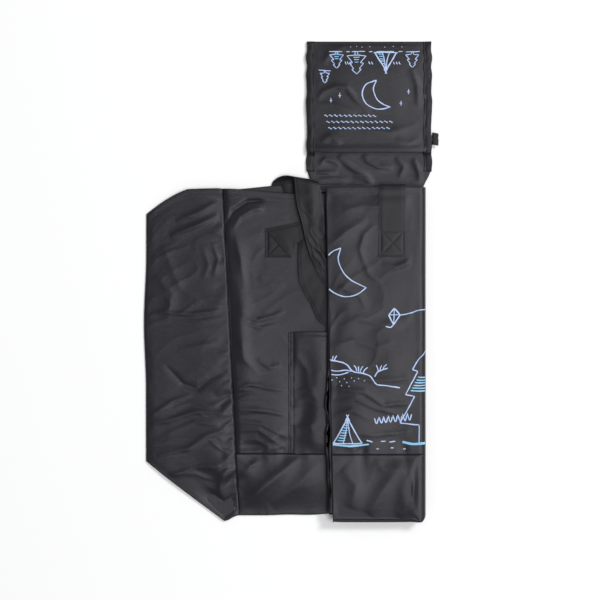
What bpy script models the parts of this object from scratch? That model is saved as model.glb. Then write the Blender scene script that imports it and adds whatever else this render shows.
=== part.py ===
"""A packable nylon travel tote, laid flat and part way through being folded away.

The bag lies with its printed front on the table. Its right side is turned back over the middle, so that
side's printed front faces up, and the stow pouch is drawn out beyond the mouth. X runs across the bag,
Y from the bottom to the mouth and Z up from the table. Sizes are in metres. While the pieces are made, X is
measured from the left side seam and Y from the mouth, and a parent empty then centres the whole bag.
"""

from math import cos, radians, sin

import bmesh
import bpy

# Cloth and webbing
CLOTH = 0.0006  # a panel with its seam allowances
STRAP = 0.0010  # a handle strap, folded from four layers of cloth
TAPE = 0.0005  # the binding tape of the pouch
GAP = 0.0003  # between pieces that lie on each other or meet at a seam

# Bag, measured in its flat pattern
PANEL_WIDTH = 0.305  # front and back panel, seam to seam
PANEL_HEIGHT = 0.276  # mouth to bottom seam
BOTTOM_HALF = 0.064  # bottom seam to the crease that the bottom is folded on
GUSSET_HALF = 0.088  # side seam to the gusset's middle crease
MOUTH_FLAT = 0.040  # level stretch of the gusset's mouth, from the seam
MOUTH_DIP = 0.027  # how far the mouth falls from there to the gusset's crease
CHAMFER_RISE = 0.062  # height of the folded corner between the gusset's crease and the bottom's
CHAMFER_END = 0.014  # side seam to the lower end of that corner
LOFT = 0.0046  # how far the front and back panels stand apart

# The side that is turned back over the middle
TURNED_WIDTH = 0.102
TURNED_BOTTOM_HALF = 0.070  # its bottom is drawn out a little straighter
TURNED_LOFT = 0.0024

# Sleeve on the back, which slides over a trolley's handle
SLEEVE_INSET = 0.061  # side seam to the sleeve's sewn edge
SLEEVE_HEIGHT = 0.126
SLEEVE_LOFT = 0.0044
SLEEVE_SHOULDER = 0.006  # width of the sloping stretch from a sewn edge up to the flat of the sleeve

# Handles
STRAP_WIDTH = 0.027
BOX_TOP = 0.044  # mouth to the top of each sewn box
BOX_HEIGHT = 0.028
BACK_BOX_INSET = 0.037  # side seam to the sewn box, on the back
FRONT_BOX_INSET = 0.053  # side seam to the sewn box, on the front
BACK_TURN_TOP = 0.030  # mouth to the top of the back handle's turn
MOUTH_TURN_REACH = 0.009  # mouth to the centre of the front handle's turn over it
STRAP_TO_TURNED_EDGE = 0.001  # front handle to the edge that it slips under
STRAP_STAGGER = 0.003  # how far the back handle shows beside the front one that lies on it
STRAP_TO_POUCH = 0.0065  # front handle to the pouch beside it
STRAP_TO_SLEEVE = 0.004  # back handle to the sleeve below it

# Stow pouch
POUCH_WIDTH = 0.130
POUCH_LENGTH = 0.152
POUCH_FRONT_LENGTH = 0.115
POUCH_LOFT = 0.0044
POUCH_OFFSET = -0.008  # pouch's middle from the bag's middle
POUCH_GATHER = 0.009  # each side is drawn in by this much at the mouth
POUCH_TAPER = 0.017  # length of the drawn-in stretch
BINDING_WIDTH = 0.008
BINDING_DEPTH = 0.002  # the layers' raw edges stop this far inside the binding
TAB_REACH = 0.0065
TAB_WIDTH = 0.0135
TAB_FROM_MOUTH = 0.0437
TAB_LOFT = 0.0020

# Middle heights of the layers above the table; the lowest is the front handle's sewn end
TABLE_STRAP = STRAP / 2
FRONT = STRAP + GAP + CLOTH / 2
BACK = FRONT + CLOTH + LOFT
LOWER_CREASE = CLOTH / 2
UPPER_CREASE = LOWER_CREASE + CLOTH + GAP
STRAP_STEP = STRAP + GAP
STRAP_1 = BACK + CLOTH / 2 + GAP + STRAP / 2
STRAP_2 = STRAP_1 + STRAP_STEP
STRAP_3 = STRAP_2 + STRAP_STEP
STRAPS_TOP = STRAP_3 + STRAP / 2
SLEEVE_EDGE = BACK + CLOTH + GAP
SLEEVE = BACK + CLOTH + SLEEVE_LOFT
SLEEVE_SIDE = SLEEVE + CLOTH + GAP
SIDE_BACK = SLEEVE_SIDE + CLOTH + GAP
SIDE_FRONT = SIDE_BACK + CLOTH + TURNED_LOFT
STRAP_UNDER_SIDE = SIDE_BACK - CLOTH / 2 - GAP - STRAP / 2
STRAP_ON_SIDE = SIDE_FRONT + CLOTH / 2 + GAP + STRAP / 2
SIDE_TOP = STRAP_ON_SIDE + STRAP / 2
POUCH_BACK = TAPE + GAP + CLOTH / 2
POUCH_FRONT = POUCH_BACK + CLOTH + POUCH_LOFT
POUCH_TOP = POUCH_FRONT + CLOTH / 2 + GAP + TAPE

# Places across and along the bag
FOLD_X = PANEL_WIDTH - TURNED_WIDTH
TURNED_EDGE_X = FOLD_X - TURNED_WIDTH
MIDDLE_END_X = FOLD_X - GAP
BOTTOM_SEAM_Y = -(PANEL_HEIGHT + GAP)
CREASE_Y = -(PANEL_HEIGHT + BOTTOM_HALF)
TURNED_CREASE_Y = -(PANEL_HEIGHT + TURNED_BOTTOM_HALF)
SLEEVE_TOP_Y = -PANEL_HEIGHT + SLEEVE_HEIGHT
POUCH_LEFT = PANEL_WIDTH / 2 + POUCH_OFFSET - POUCH_WIDTH / 2
POUCH_RIGHT = POUCH_LEFT + POUCH_WIDTH
POUCH_MOUTH_Y = POUCH_LENGTH - POUCH_FRONT_LENGTH
TAB_X = POUCH_RIGHT + GAP
TAB_Z = (POUCH_BACK + POUCH_FRONT) / 2

# Places of the handles; each free stretch ends half way between its two turns
BOX_BOTTOM_Y = -(BOX_TOP + BOX_HEIGHT)
FRONT_LOOP_X = TURNED_EDGE_X - STRAP_TO_TURNED_EDGE - STRAP_WIDTH
BACK_LOOP_X = FRONT_LOOP_X - STRAP_STAGGER
BACK_TUCK_Y = SLEEVE_TOP_Y + STRAP_TO_SLEEVE
BACK_LOOP_END_Y = (BACK_TUCK_Y - BACK_TURN_TOP) / 2
FRONT_LOOP_END_Y = BACK_LOOP_END_Y - STRAP_STAGGER
FRONT_TUCK_Y = FRONT_LOOP_END_Y - STRAP_STAGGER - STRAP_WIDTH
MOUTH_TURN_X = POUCH_LEFT - STRAP_TO_POUCH - STRAP_WIDTH
MOUTH_TURN_Z = (TABLE_STRAP + STRAP_3) / 2
MOUTH_TURN_RADIUS = (STRAP_3 - TABLE_STRAP) / 2

# Joint axes: a fold's is high enough for its pieces to land a gap above what lies below them
SIDE_AXIS = (FOLD_X, 0, (SIDE_TOP + GAP) / 2)
POUCH_AXIS = (0, 0, (SIDE_TOP + POUCH_TOP + GAP) / 2)
GUSSET_AXIS = (0, 0, (BACK + CLOTH / 2 + STRAPS_TOP + GAP) / 2)
FRONT_HANDLE_AXIS = (0, MOUTH_TURN_REACH, MOUTH_TURN_Z)
BACK_HANDLE_AXIS = (0, -BACK_TURN_TOP, STRAP_2)
TAB_AXIS = (TAB_X, 0, TAB_Z + (TAB_LOFT + TAPE) / 2)

# Middle of the underside of the whole bag
CENTRE_X = (TAB_X + TAB_REACH - GUSSET_HALF) / 2
CENTRE_Y = (POUCH_LENGTH + TURNED_CREASE_Y) / 2


def clear_scene():
    for obj in list(bpy.data.objects):
        bpy.data.objects.remove(obj, do_unlink=True)


def new_collection(name):
    collection = bpy.data.collections.new(name)
    bpy.context.scene.collection.children.link(collection)
    return collection


def axis_empty(name, place, parent=None):
    """An empty on a joint's axis, at a place measured like the pieces."""
    empty = bpy.data.objects.new(name, None)
    empty.empty_display_size = 0.02
    collection.objects.link(empty)
    empty.parent = parent
    empty.location = place
    return empty


def nylon(name, colour, roughness):
    material = bpy.data.materials.new(name)
    material.use_nodes = True
    shader = material.node_tree.nodes["Principled BSDF"]
    shader.inputs["Base Color"].default_value = (*colour, 1)
    shader.inputs["Roughness"].default_value = roughness
    shader.inputs["Metallic"].default_value = 0
    return material


def sheet(name, rows, thickness, material, parent):
    """Cloth through rows of points, thickened evenly to both sides of its middle surface."""
    across, along = len(rows[0]), len(rows)
    shape = bmesh.new()
    bmesh.ops.create_grid(shape, x_segments=across - 1, y_segments=along - 1, size=1)
    points = [point for row in rows for point in row]
    for vert, point in zip(shape.verts, points):
        vert.co = point
    mesh = bpy.data.meshes.new(name)
    shape.to_mesh(mesh)
    shape.free()
    mesh.materials.append(material)
    obj = bpy.data.objects.new(name, mesh)
    collection.objects.link(obj)
    obj.parent = parent
    if parent is not bag:
        obj.location = -parent.location
    wall = obj.modifiers.new("thickness", "SOLIDIFY")
    wall.thickness = thickness
    wall.offset = 0
    wall.use_even_offset = True
    return obj


def flat_panel(name, x_range, y_range, height, material, parent):
    rows = [[(x, y, height) for x in x_range] for y in y_range]
    return sheet(name, rows, CLOTH, material, parent)


def strap(name, stations, parent):
    """A strap through cross lines, each (x of its left edge, y, z)."""
    rows = [[(x, y, z), (x + STRAP_WIDTH, y, z)] for x, y, z in stations]
    return sheet(name, rows, STRAP, webbing, parent)


def strap_round_corner(name, outline, height):
    """A flat strap down, across and up: its left edge's start, its low corner and its right end's start."""
    (left_x, start_y), (_, low_y), (right_x, end_y) = outline
    high_y = low_y + STRAP_WIDTH
    rows = [
        [(left_x + STRAP_WIDTH, start_y), (left_x, start_y)],
        [(left_x + STRAP_WIDTH, high_y), (left_x, low_y)],
        [(right_x, high_y), (right_x + STRAP_WIDTH, low_y)],
        [(right_x, end_y), (right_x + STRAP_WIDTH, end_y)],
    ]
    rows = [[(x, y, height) for x, y in row] for row in rows]
    sheet(name, rows, STRAP, webbing, bag)


def make_panels():
    """Front and back panel, from the left seam to the line that the side is turned on."""
    x_range = (0, MIDDLE_END_X)
    y_range = (-PANEL_HEIGHT, 0)
    flat_panel("front_panel", x_range, y_range, FRONT, printed_nylon, bag)
    flat_panel("back_panel", x_range, y_range, BACK, black_nylon, bag)


def make_bottom(name, x_range, crease_y, heights, creases, parent):
    """The bottom is one cloth folded on its middle crease, and its two halves slope together there."""
    for half, height, crease in zip(("front", "back"), heights, creases):
        rows = [[(x, crease_y, crease) for x in x_range]]
        rows += [[(x, BOTTOM_SEAM_Y, height) for x in x_range]]
        sheet(f"{name}_{half}_half", rows, CLOTH, black_nylon, parent)


def make_left_gusset():
    """The left gusset is drawn out sideways, and its two halves meet at its middle crease."""
    corner_y = TURNED_CREASE_Y + CHAMFER_RISE
    for half, height, crease in (("front", FRONT, LOWER_CREASE), ("back", BACK, UPPER_CREASE)):
        mouth_height = height + (crease - height) * MOUTH_FLAT / GUSSET_HALF
        rows = [
            [(-CHAMFER_END, TURNED_CREASE_Y, crease), (-GAP, CREASE_Y, crease)],
            [(-GUSSET_HALF, corner_y, crease), (-GAP, -PANEL_HEIGHT, height)],
            [(-GUSSET_HALF, -MOUTH_DIP, crease), (-GAP, -MOUTH_DIP, height)],
            [(-MOUTH_FLAT, 0, mouth_height), (-GAP, 0, height)],
        ]
        sheet(f"left_gusset_{half}_half", rows, CLOTH, black_nylon, gusset_axis)


def make_sleeve():
    """The sleeve is sewn down along its two sides, one of them on the side that is turned over."""
    ends = (-PANEL_HEIGHT, SLEEVE_TOP_Y)
    flat_x = SLEEVE_INSET + SLEEVE_SHOULDER
    profile = [(SLEEVE_INSET, SLEEVE_EDGE), (flat_x, SLEEVE), (MIDDLE_END_X, SLEEVE)]
    rows = [[(x, y, z) for x, z in profile] for y in ends]
    sheet("trolley_sleeve", rows, CLOTH, black_nylon, bag)
    x_range = (TURNED_EDGE_X + SLEEVE_INSET, MIDDLE_END_X)
    flat_panel("trolley_sleeve_side", x_range, ends, SLEEVE_SIDE, black_nylon, side_axis)


def make_turned_side():
    """The right side lies with its back panel down, its front panel up and its gusset tucked between."""
    x_range = (TURNED_EDGE_X, MIDDLE_END_X)
    y_range = (-PANEL_HEIGHT, 0)
    flat_panel("back_panel_side", x_range, y_range, SIDE_BACK, black_nylon, side_axis)
    flat_panel("front_panel_side", x_range, y_range, SIDE_FRONT, printed_nylon, side_axis)
    heights = (SIDE_FRONT, SIDE_BACK)
    make_bottom("bottom_side", x_range, TURNED_CREASE_Y, heights, heights, side_axis)
    inner_x = TURNED_EDGE_X + GUSSET_HALF
    layer = CLOTH + GAP
    for half, height in (("front", SIDE_FRONT - layer), ("back", SIDE_BACK + layer)):
        rows = [[(x, y, height) for x in (TURNED_EDGE_X, inner_x)] for y in (-PANEL_HEIGHT, -MOUTH_DIP)]
        sheet(f"right_gusset_{half}_half", rows, CLOTH, black_nylon, side_axis)


def turn_over_mouth(x, angles):
    """Stations round the front handle's turn over the mouth; 90 degrees is its top."""
    stations = []
    for angle in angles:
        y = MOUTH_TURN_REACH + MOUTH_TURN_RADIUS * cos(radians(angle))
        z = MOUTH_TURN_Z + MOUTH_TURN_RADIUS * sin(radians(angle))
        stations.append((x, y, z))
    return stations


def make_front_handle():
    """From the sewn box under the bag, over the mouth, under the turned side and over its mouth."""
    left_end = [
        (FRONT_BOX_INSET, BOX_BOTTOM_Y, TABLE_STRAP),
        (FRONT_BOX_INSET, -BOX_TOP, TABLE_STRAP),
        (MOUTH_TURN_X, MOUTH_TURN_REACH, TABLE_STRAP),
    ]
    strap("front_handle_left_end", left_end, bag)

    # The turn starts far enough round to clear the left end when the loop is raised.
    loop = turn_over_mouth(MOUTH_TURN_X, (-24, 4, 33, 61, 90))
    loop += [(FRONT_LOOP_X, -BOX_TOP, STRAP_3)]
    loop += [(FRONT_LOOP_X, FRONT_LOOP_END_Y, STRAP_3)]
    strap("front_handle_loop", loop, front_handle_axis)

    right_x = TURNED_EDGE_X + FRONT_BOX_INSET
    outline = [(FRONT_LOOP_X, FRONT_LOOP_END_Y - GAP), (FRONT_LOOP_X, FRONT_TUCK_Y), (right_x, -GAP)]
    strap_round_corner("front_handle_tucked", outline, STRAP_3)

    past_hem = GAP + STRAP / 2
    right_end = [
        (right_x, BOX_BOTTOM_Y, STRAP_ON_SIDE),
        (right_x, past_hem, STRAP_ON_SIDE),
        (right_x, past_hem, STRAP_UNDER_SIDE),
        (right_x, -past_hem, STRAP_UNDER_SIDE),
    ]
    strap("front_handle_right_end", right_end, side_axis)


def make_back_handle():
    """From the sewn box on the back, folded across itself, then down and under the turned side."""
    left_end = [(BACK_BOX_INSET, BOX_BOTTOM_Y, STRAP_1), (BACK_BOX_INSET, -BOX_TOP, STRAP_1)]
    strap("back_handle_left_end", left_end, bag)

    inner_x = BACK_LOOP_X + STRAP_WIDTH
    loop = [
        [(BACK_BOX_INSET, -BOX_TOP), (BACK_BOX_INSET + STRAP_WIDTH, BOX_BOTTOM_Y)],
        [(inner_x, -BACK_TURN_TOP), (BACK_LOOP_X, -(BACK_TURN_TOP + STRAP_WIDTH))],
        [(inner_x, BACK_LOOP_END_Y), (BACK_LOOP_X, BACK_LOOP_END_Y)],
    ]
    rows = [[(x, y, STRAP_2) for x, y in row] for row in loop]
    sheet("back_handle_loop", rows, STRAP, webbing, back_handle_axis)

    right_x = TURNED_EDGE_X + BACK_BOX_INSET
    outline = [(BACK_LOOP_X, BACK_LOOP_END_Y - GAP), (BACK_LOOP_X, BACK_TUCK_Y), (right_x, -BOX_TOP)]
    strap_round_corner("back_handle_tucked", outline, STRAP_1)

    right_end = [(right_x, BOX_BOTTOM_Y, STRAP_UNDER_SIDE), (right_x, -BOX_TOP, STRAP_UNDER_SIDE)]
    strap("back_handle_right_end", right_end, side_axis)


def make_pouch():
    """Two layers bound together along their sides; the back one runs on down to the bag's mouth."""
    left, right = POUCH_LEFT + BINDING_DEPTH, POUCH_RIGHT - BINDING_DEPTH
    rows = [
        [(POUCH_LEFT + POUCH_GATHER, GAP, POUCH_BACK), (POUCH_RIGHT - POUCH_GATHER, GAP, POUCH_BACK)],
        [(left, POUCH_TAPER, POUCH_BACK), (right, POUCH_TAPER, POUCH_BACK)],
        [(left, POUCH_LENGTH, POUCH_BACK), (right, POUCH_LENGTH, POUCH_BACK)],
    ]
    sheet("pouch_back", rows, CLOTH, black_nylon, pouch_axis)

    # The front layer turns down over the pouch's closed end.
    profile = [
        (POUCH_MOUTH_Y, POUCH_FRONT),
        (POUCH_LENGTH - CLOTH / 2, POUCH_FRONT),
        (POUCH_LENGTH - CLOTH / 2, POUCH_BACK + CLOTH / 2 + GAP),
    ]
    rows = [[(x, y, z) for x in (left, right)] for y, z in profile]
    sheet("pouch_front", rows, CLOTH, printed_nylon, pouch_axis)

    low, high = TAPE / 2, POUCH_TOP - TAPE / 2
    for name, outer, inward in (("left", POUCH_LEFT, 1), ("right", POUCH_RIGHT, -1)):
        spine = outer + inward * TAPE / 2
        lip = outer + inward * BINDING_WIDTH
        profile = [(lip, low), (spine, low), (spine, high), (lip, high)]
        rows = [[(x, y, z) for x, z in profile] for y in (POUCH_TAPER, POUCH_LENGTH)]
        sheet(f"pouch_binding_{name}", rows, TAPE, binding_tape, pouch_axis)


def make_tab():
    """A small loop of tape whose two ends are caught in the pouch's right binding."""
    tip = TAB_X + TAB_REACH - TAPE / 2
    low, high = TAB_Z - TAB_LOFT / 2, TAB_Z + TAB_LOFT / 2
    profile = [(TAB_X, low), (tip, low), (tip, high), (TAB_X, high)]
    ends = (TAB_FROM_MOUTH, TAB_FROM_MOUTH + TAB_WIDTH)
    rows = [[(x, y, z) for x, z in profile] for y in ends]
    sheet("pouch_tab", rows, TAPE, binding_tape, tab_axis)


clear_scene()
collection = new_collection("packable_tote")
bag = axis_empty("bag", (-CENTRE_X, -CENTRE_Y, 0))
side_axis = axis_empty("side_axis", SIDE_AXIS, bag)
pouch_axis = axis_empty("pouch_axis", POUCH_AXIS, bag)
gusset_axis = axis_empty("gusset_axis", GUSSET_AXIS, bag)
front_handle_axis = axis_empty("front_handle_axis", FRONT_HANDLE_AXIS, bag)
back_handle_axis = axis_empty("back_handle_axis", BACK_HANDLE_AXIS, bag)
tab_axis = axis_empty("tab_axis", TAB_AXIS, bag)

black_nylon = nylon("black_nylon", (0.016, 0.015, 0.018), 0.45)
printed_nylon = nylon("printed_nylon", (0.020, 0.020, 0.025), 0.45)
webbing = nylon("strap_nylon", (0.014, 0.013, 0.015), 0.5)
binding_tape = nylon("binding_tape", (0.018, 0.018, 0.020), 0.6)

make_panels()
make_bottom("bottom", (0, MIDDLE_END_X), CREASE_Y, (FRONT, BACK), (LOWER_CREASE, UPPER_CREASE), bag)
make_left_gusset()
make_sleeve()
make_turned_side()
make_front_handle()
make_back_handle()
make_pouch()
make_tab()
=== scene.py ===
from math import pi, radians

import bpy
import numpy as np
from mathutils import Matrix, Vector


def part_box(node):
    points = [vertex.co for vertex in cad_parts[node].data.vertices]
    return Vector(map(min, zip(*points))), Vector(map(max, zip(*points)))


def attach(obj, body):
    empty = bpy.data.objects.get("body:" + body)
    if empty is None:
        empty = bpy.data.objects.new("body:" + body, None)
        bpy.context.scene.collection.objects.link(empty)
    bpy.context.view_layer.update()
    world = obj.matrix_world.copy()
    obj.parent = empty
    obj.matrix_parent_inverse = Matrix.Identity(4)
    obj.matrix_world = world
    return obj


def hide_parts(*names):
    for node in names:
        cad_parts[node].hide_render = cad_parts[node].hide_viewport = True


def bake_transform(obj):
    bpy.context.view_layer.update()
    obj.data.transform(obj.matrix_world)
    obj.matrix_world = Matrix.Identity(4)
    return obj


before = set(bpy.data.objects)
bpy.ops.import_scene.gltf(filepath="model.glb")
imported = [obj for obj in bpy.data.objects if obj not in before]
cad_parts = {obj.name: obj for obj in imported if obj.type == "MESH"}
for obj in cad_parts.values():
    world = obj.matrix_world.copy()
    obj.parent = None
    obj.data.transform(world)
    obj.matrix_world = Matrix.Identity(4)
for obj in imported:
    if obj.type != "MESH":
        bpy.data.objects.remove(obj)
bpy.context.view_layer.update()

MM = 0.001

# ---------------------------------------------------------------------------------------------------------
# The table, the light and the camera.
# A seamless pale sweep lies under the bag. A soft box to the upper right leaves the steps between layers in
# shadow. A large one, high on the right, draws the satin sheen along the folds, and the white room fills the
# rest. The camera looks straight down.
# ---------------------------------------------------------------------------------------------------------
FIELD = 624 * MM  # width that the camera sees on the table
VIEW_CENTRE = (8.5 * MM, -19.5 * MM)
CAMERA_HEIGHT = 1.9
SENSOR = 36.0


def plain_material(name, colour, roughness, specular=0.5):
    material = bpy.data.materials.new(name)
    material.use_nodes = True
    shader = material.node_tree.nodes["Principled BSDF"]
    shader.inputs["Base Color"].default_value = (*colour, 1)
    shader.inputs["Roughness"].default_value = roughness
    shader.inputs["Specular IOR Level"].default_value = specular
    return material


def soft_box(name, place, size, power):
    """A rectangular lamp that faces the middle of the bag."""
    bpy.ops.object.light_add(type="AREA", location=place)
    lamp = bpy.context.object
    lamp.name = name
    lamp.data.shape = "RECTANGLE"
    lamp.data.size, lamp.data.size_y = size
    lamp.data.energy = power
    lamp.visible_camera = False
    x, y, z = place
    lamp.rotation_euler = (float(np.arctan2(np.hypot(x, y), z)), 0, float(np.arctan2(-x, y)) + pi)


bpy.ops.object.select_all(action="DESELECT")
bpy.ops.mesh.primitive_plane_add(size=12, location=(0, 0, -0.4 * MM))
table = bpy.context.object
table.name = "table"
table.data.materials.append(plain_material("pale_sweep", (0.93, 0.93, 0.925), 0.9, specular=0.0))

soft_box("key_box", (3.0, 2.1, 3.6), (1.3, 1.1), 130)
soft_box("top_box", (1.65, -0.6, 5.4), (2.4, 2.2), 150)

world = bpy.data.worlds.new("studio")
bpy.context.scene.world = world
world.use_nodes = True
world.node_tree.nodes["Background"].inputs["Color"].default_value = (0.97, 0.98, 1.0, 1)
world.node_tree.nodes["Background"].inputs["Strength"].default_value = 0.34

bpy.ops.object.camera_add(location=(*VIEW_CENTRE, CAMERA_HEIGHT), rotation=(0, 0, 0))
camera = bpy.context.object
camera.data.sensor_width = SENSOR
camera.data.lens = SENSOR * CAMERA_HEIGHT / FIELD
camera.data.clip_start = 0.05
bpy.context.scene.camera = camera
bpy.context.scene.view_settings.view_transform = "Standard"

# ---------------------------------------------------------------------------------------------------------
# Front panel: one cut of black nylon taffeta, 305 mm from seam to seam. It lies against the table up to the
# fold, turns over there and comes back on top with its print upwards. Its mouth has a hem, sewn with one row.
# Each cloth here is a grid laid out in the flat and bent to its place. Where it shows, it gets a little spare
# length and buckles between its seams until it settles, and then fold lines and creases are pressed into it.
# ---------------------------------------------------------------------------------------------------------
SEAM_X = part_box("front_panel")[0][0]  # world X of the left side seam
MOUTH_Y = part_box("front_panel")[1][1]  # world Y of the mouth
FOLD_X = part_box("front_panel")[1][0] - SEAM_X + 0.3 * MM
TURNED_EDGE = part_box("front_panel_side")[0][0] - SEAM_X
PANEL_WIDTH = 2 * FOLD_X - TURNED_EDGE
PANEL_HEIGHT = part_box("front_panel")[1][1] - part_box("front_panel")[0][1]
HEM = 8 * MM
HEM_INSET = 1.3 * MM  # from a hem's inner edge to its stitches
NYLON = 0.35 * MM  # thickness of the cloth with its coating
CAP = 7 * MM  # cloth on each side of the fold line that goes round the fold
FINE = 1.35 * MM  # spacing of the points where the cloth shows
COARSE = 4.0 * MM  # and where it is hidden


def level(node):
    """Middle height of a flat CAD cloth."""
    low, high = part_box(node)
    return (low[2] + high[2]) / 2


def in_bag(x, y, z):
    """World points from distances to the left seam, the mouth and the table."""
    x, y, z = np.broadcast_arrays(x, y, z)
    return np.stack([x + SEAM_X, y + MOUTH_Y, z], axis=-1)


def ease(value, low, high):
    """0 below low, 1 above high, and a smooth rise between."""
    t = np.clip((value - low) / (high - low), 0, 1)
    return t * t * (3 - 2 * t)


def bump(value, middle, width):
    return np.exp(-(((value - middle) / width) ** 2))


def noise(x, y, size, seed):
    """Smooth noise from -1 to 1, with features about size across."""
    lattice = np.random.default_rng(seed).uniform(-1, 1, (64, 64))
    column, row = np.floor(x / size), np.floor(y / size)
    across, along = ease(x / size - column, 0, 1), ease(y / size - row, 0, 1)
    column, row = column.astype(int), row.astype(int)

    def corner(i, j):
        return lattice[(row + j) % 64, (column + i) % 64]

    near = corner(0, 0) * (1 - across) + corner(1, 0) * across
    far = corner(0, 1) * (1 - across) + corner(1, 1) * across
    return near * (1 - along) + far * along


def fold_line(x, y, points, width, height):
    """A fold along a bent line of points (x, y): a sharp crest with concave flanks, which fades at both ends.
    The points, the width and the height are in millimetres."""
    points = np.array(points) * MM
    best = np.full(np.shape(x), 1e9)
    place = np.zeros(np.shape(x))
    lengths = np.hypot(*(points[1:] - points[:-1]).T)
    start = 0
    for a, b, length in zip(points, points[1:], lengths):
        t = np.clip(((x - a[0]) * (b[0] - a[0]) + (y - a[1]) * (b[1] - a[1])) / length**2, 0, 1)
        gap = np.hypot(x - a[0] - t * (b[0] - a[0]), y - a[1] - t * (b[1] - a[1]))
        closer = gap < best
        best = np.where(closer, gap, best)
        place = np.where(closer, start + t * length, place)
        start += length
    ends = np.sin(pi * np.clip(place / start, 0, 1)) ** 0.6
    return height * MM * ends * np.exp(-np.abs(best / (0.6 * width * MM)) ** 1.4)


def creases(x, y, spacing, length, tilt, seed):
    """Long fine wrinkles from -1 to 1: small sharp ridges, tilted by some degrees from the bag's width."""
    turn = radians(tilt)
    along = x * np.cos(turn) + y * np.sin(turn)
    across = y * np.cos(turn) - x * np.sin(turn) + 0.6 * spacing * noise(x, y, 2.2 * spacing, seed + 1)
    strength = 0.6 + 0.4 * noise(x, y, 3 * spacing, seed + 2)
    return strength * (1 - 1.7 * np.abs(noise(along * spacing / length, across, spacing, seed)) ** 0.55)


def folds_of(x, y, folds):
    return sum(fold_line(x, y, *fold) for fold in folds)


def pull(points, loose, a, b, rest, firmness):
    """Moves the points of each pair (a, b) towards their rest distance."""
    span = points[b] - points[a]
    length = np.sqrt((span**2).sum(-1)) + 1e-9
    share = firmness * (1 - rest / length) / np.maximum(loose[a] + loose[b], 1)
    move = span * share[..., None]
    points[a] += move * loose[a][..., None]
    points[b] -= move * loose[b][..., None]


def relax(points, loose, spare, floor, ceiling, rounds, stiffness):
    """Lets a grid of cloth points find its place when its threads are longer than the room for them."""
    rows, cols = loose.shape
    every = slice(None)
    pairs = []
    for row in (0, 1):
        a, b = slice(row, rows - 1, 2), slice(row + 1, rows, 2)
        pairs.append(((a, every), (b, every), 1.0))
        for col in (0, 1):
            c, d = slice(col, cols - 1, 2), slice(col + 1, cols, 2)
            pairs.append(((a, c), (b, d), 0.15))
            pairs.append(((a, d), (b, c), 0.15))
    for col in (0, 1):
        c, d = slice(col, cols - 1, 2), slice(col + 1, cols, 2)
        pairs.append(((every, c), (every, d), 1.0))
    rests = []
    for a, b, _ in pairs:
        growth = 1 + (spare[a] + spare[b]) / 2
        dx, dy, dz = np.moveaxis(points[b] - points[a], -1, 0)
        rests.append(np.sqrt((dx * growth[..., 0]) ** 2 + (dy * growth[..., 1]) ** 2 + dz**2))
    z = points[..., 2]

    def curvature(field):
        wide = np.pad(field, 1, mode="edge")
        return wide[:-2, 1:-1] + wide[2:, 1:-1] + wide[1:-1, :-2] + wide[1:-1, 2:] - 4 * field

    for _ in range(rounds):
        for (a, b, firmness), rest in zip(pairs, rests):
            pull(points, loose, a, b, rest, firmness)
        z -= loose * stiffness * curvature(curvature(z))
        np.clip(z, floor, ceiling, out=z)


def settle(points, held, spare_x, spare_y, floor, ceiling, folds=0.0, rounds=(300, 300, 200), stiffness=0.02):
    """Buckles laid cloth: first its broad folds on a coarse grid, then finer ones. Held points stay (1) or
    give (below 1), and spare is extra thread length across and along. The folds are pressed in at the end."""
    shape = held.shape
    spare = np.stack(np.broadcast_arrays(spare_x, spare_y, held), axis=-1)[..., :2]
    loose = 1 - held
    floor, ceiling = np.broadcast_to(floor, shape), np.broadcast_to(ceiling, shape)
    for step, count in zip((4, 2, 1), rounds):
        kept = [np.union1d(range(0, n, step), [n - 1]) for n in shape]
        grid = np.ix_(*kept)
        small = points[grid]
        before = small.copy()
        relax(small, loose[grid], spare[grid], floor[grid], ceiling[grid], count, stiffness)
        move = small - before
        parts = []
        for n, at in zip(shape, kept):
            index = np.clip(np.searchsorted(at, np.arange(n), side="right") - 1, 0, len(at) - 2)
            parts.append((index, ease((np.arange(n) - at[index]) / (at[index + 1] - at[index]), 0, 1)))
        (i, down), (j, side) = parts
        down, side = down[:, None, None], side[None, :, None]
        near = move[i][:, j] * (1 - side) + move[i][:, j + 1] * side
        far = move[i + 1][:, j] * (1 - side) + move[i + 1][:, j + 1] * side
        points = points + (near * (1 - down) + far * down) * loose[..., None]
    room = np.maximum(np.where(folds > 0, ceiling - points[..., 2], points[..., 2] - floor), 0.01 * MM)
    points[..., 2] += loose * room * np.tanh(folds / room)
    return points


def turned(u, low, high, reach):
    """X and height of cloth at u from the left seam, which goes round the fold from one level to another."""
    start = FOLD_X - CAP
    angle = pi * (np.clip((u - start) / (2 * CAP), 0, 1) - 0.5)
    x = np.where(u < FOLD_X, np.minimum(u, start), 2 * FOLD_X - np.maximum(u, FOLD_X + CAP))
    return x + reach * np.cos(angle) ** 0.8, (low + high) / 2 + (high - low) / 2 * np.sin(angle)


def steps(*stops):
    """Positions from stop to stop, with the spacing that stands between two stops."""
    parts = []
    for a, gap, b in zip(stops[::2], stops[1::2], stops[2::2]):
        parts.append(np.linspace(a, b, max(2, round(abs(b - a) / gap) + 1))[:-1])
    return np.concatenate([*parts, [stops[-1]]])


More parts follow.
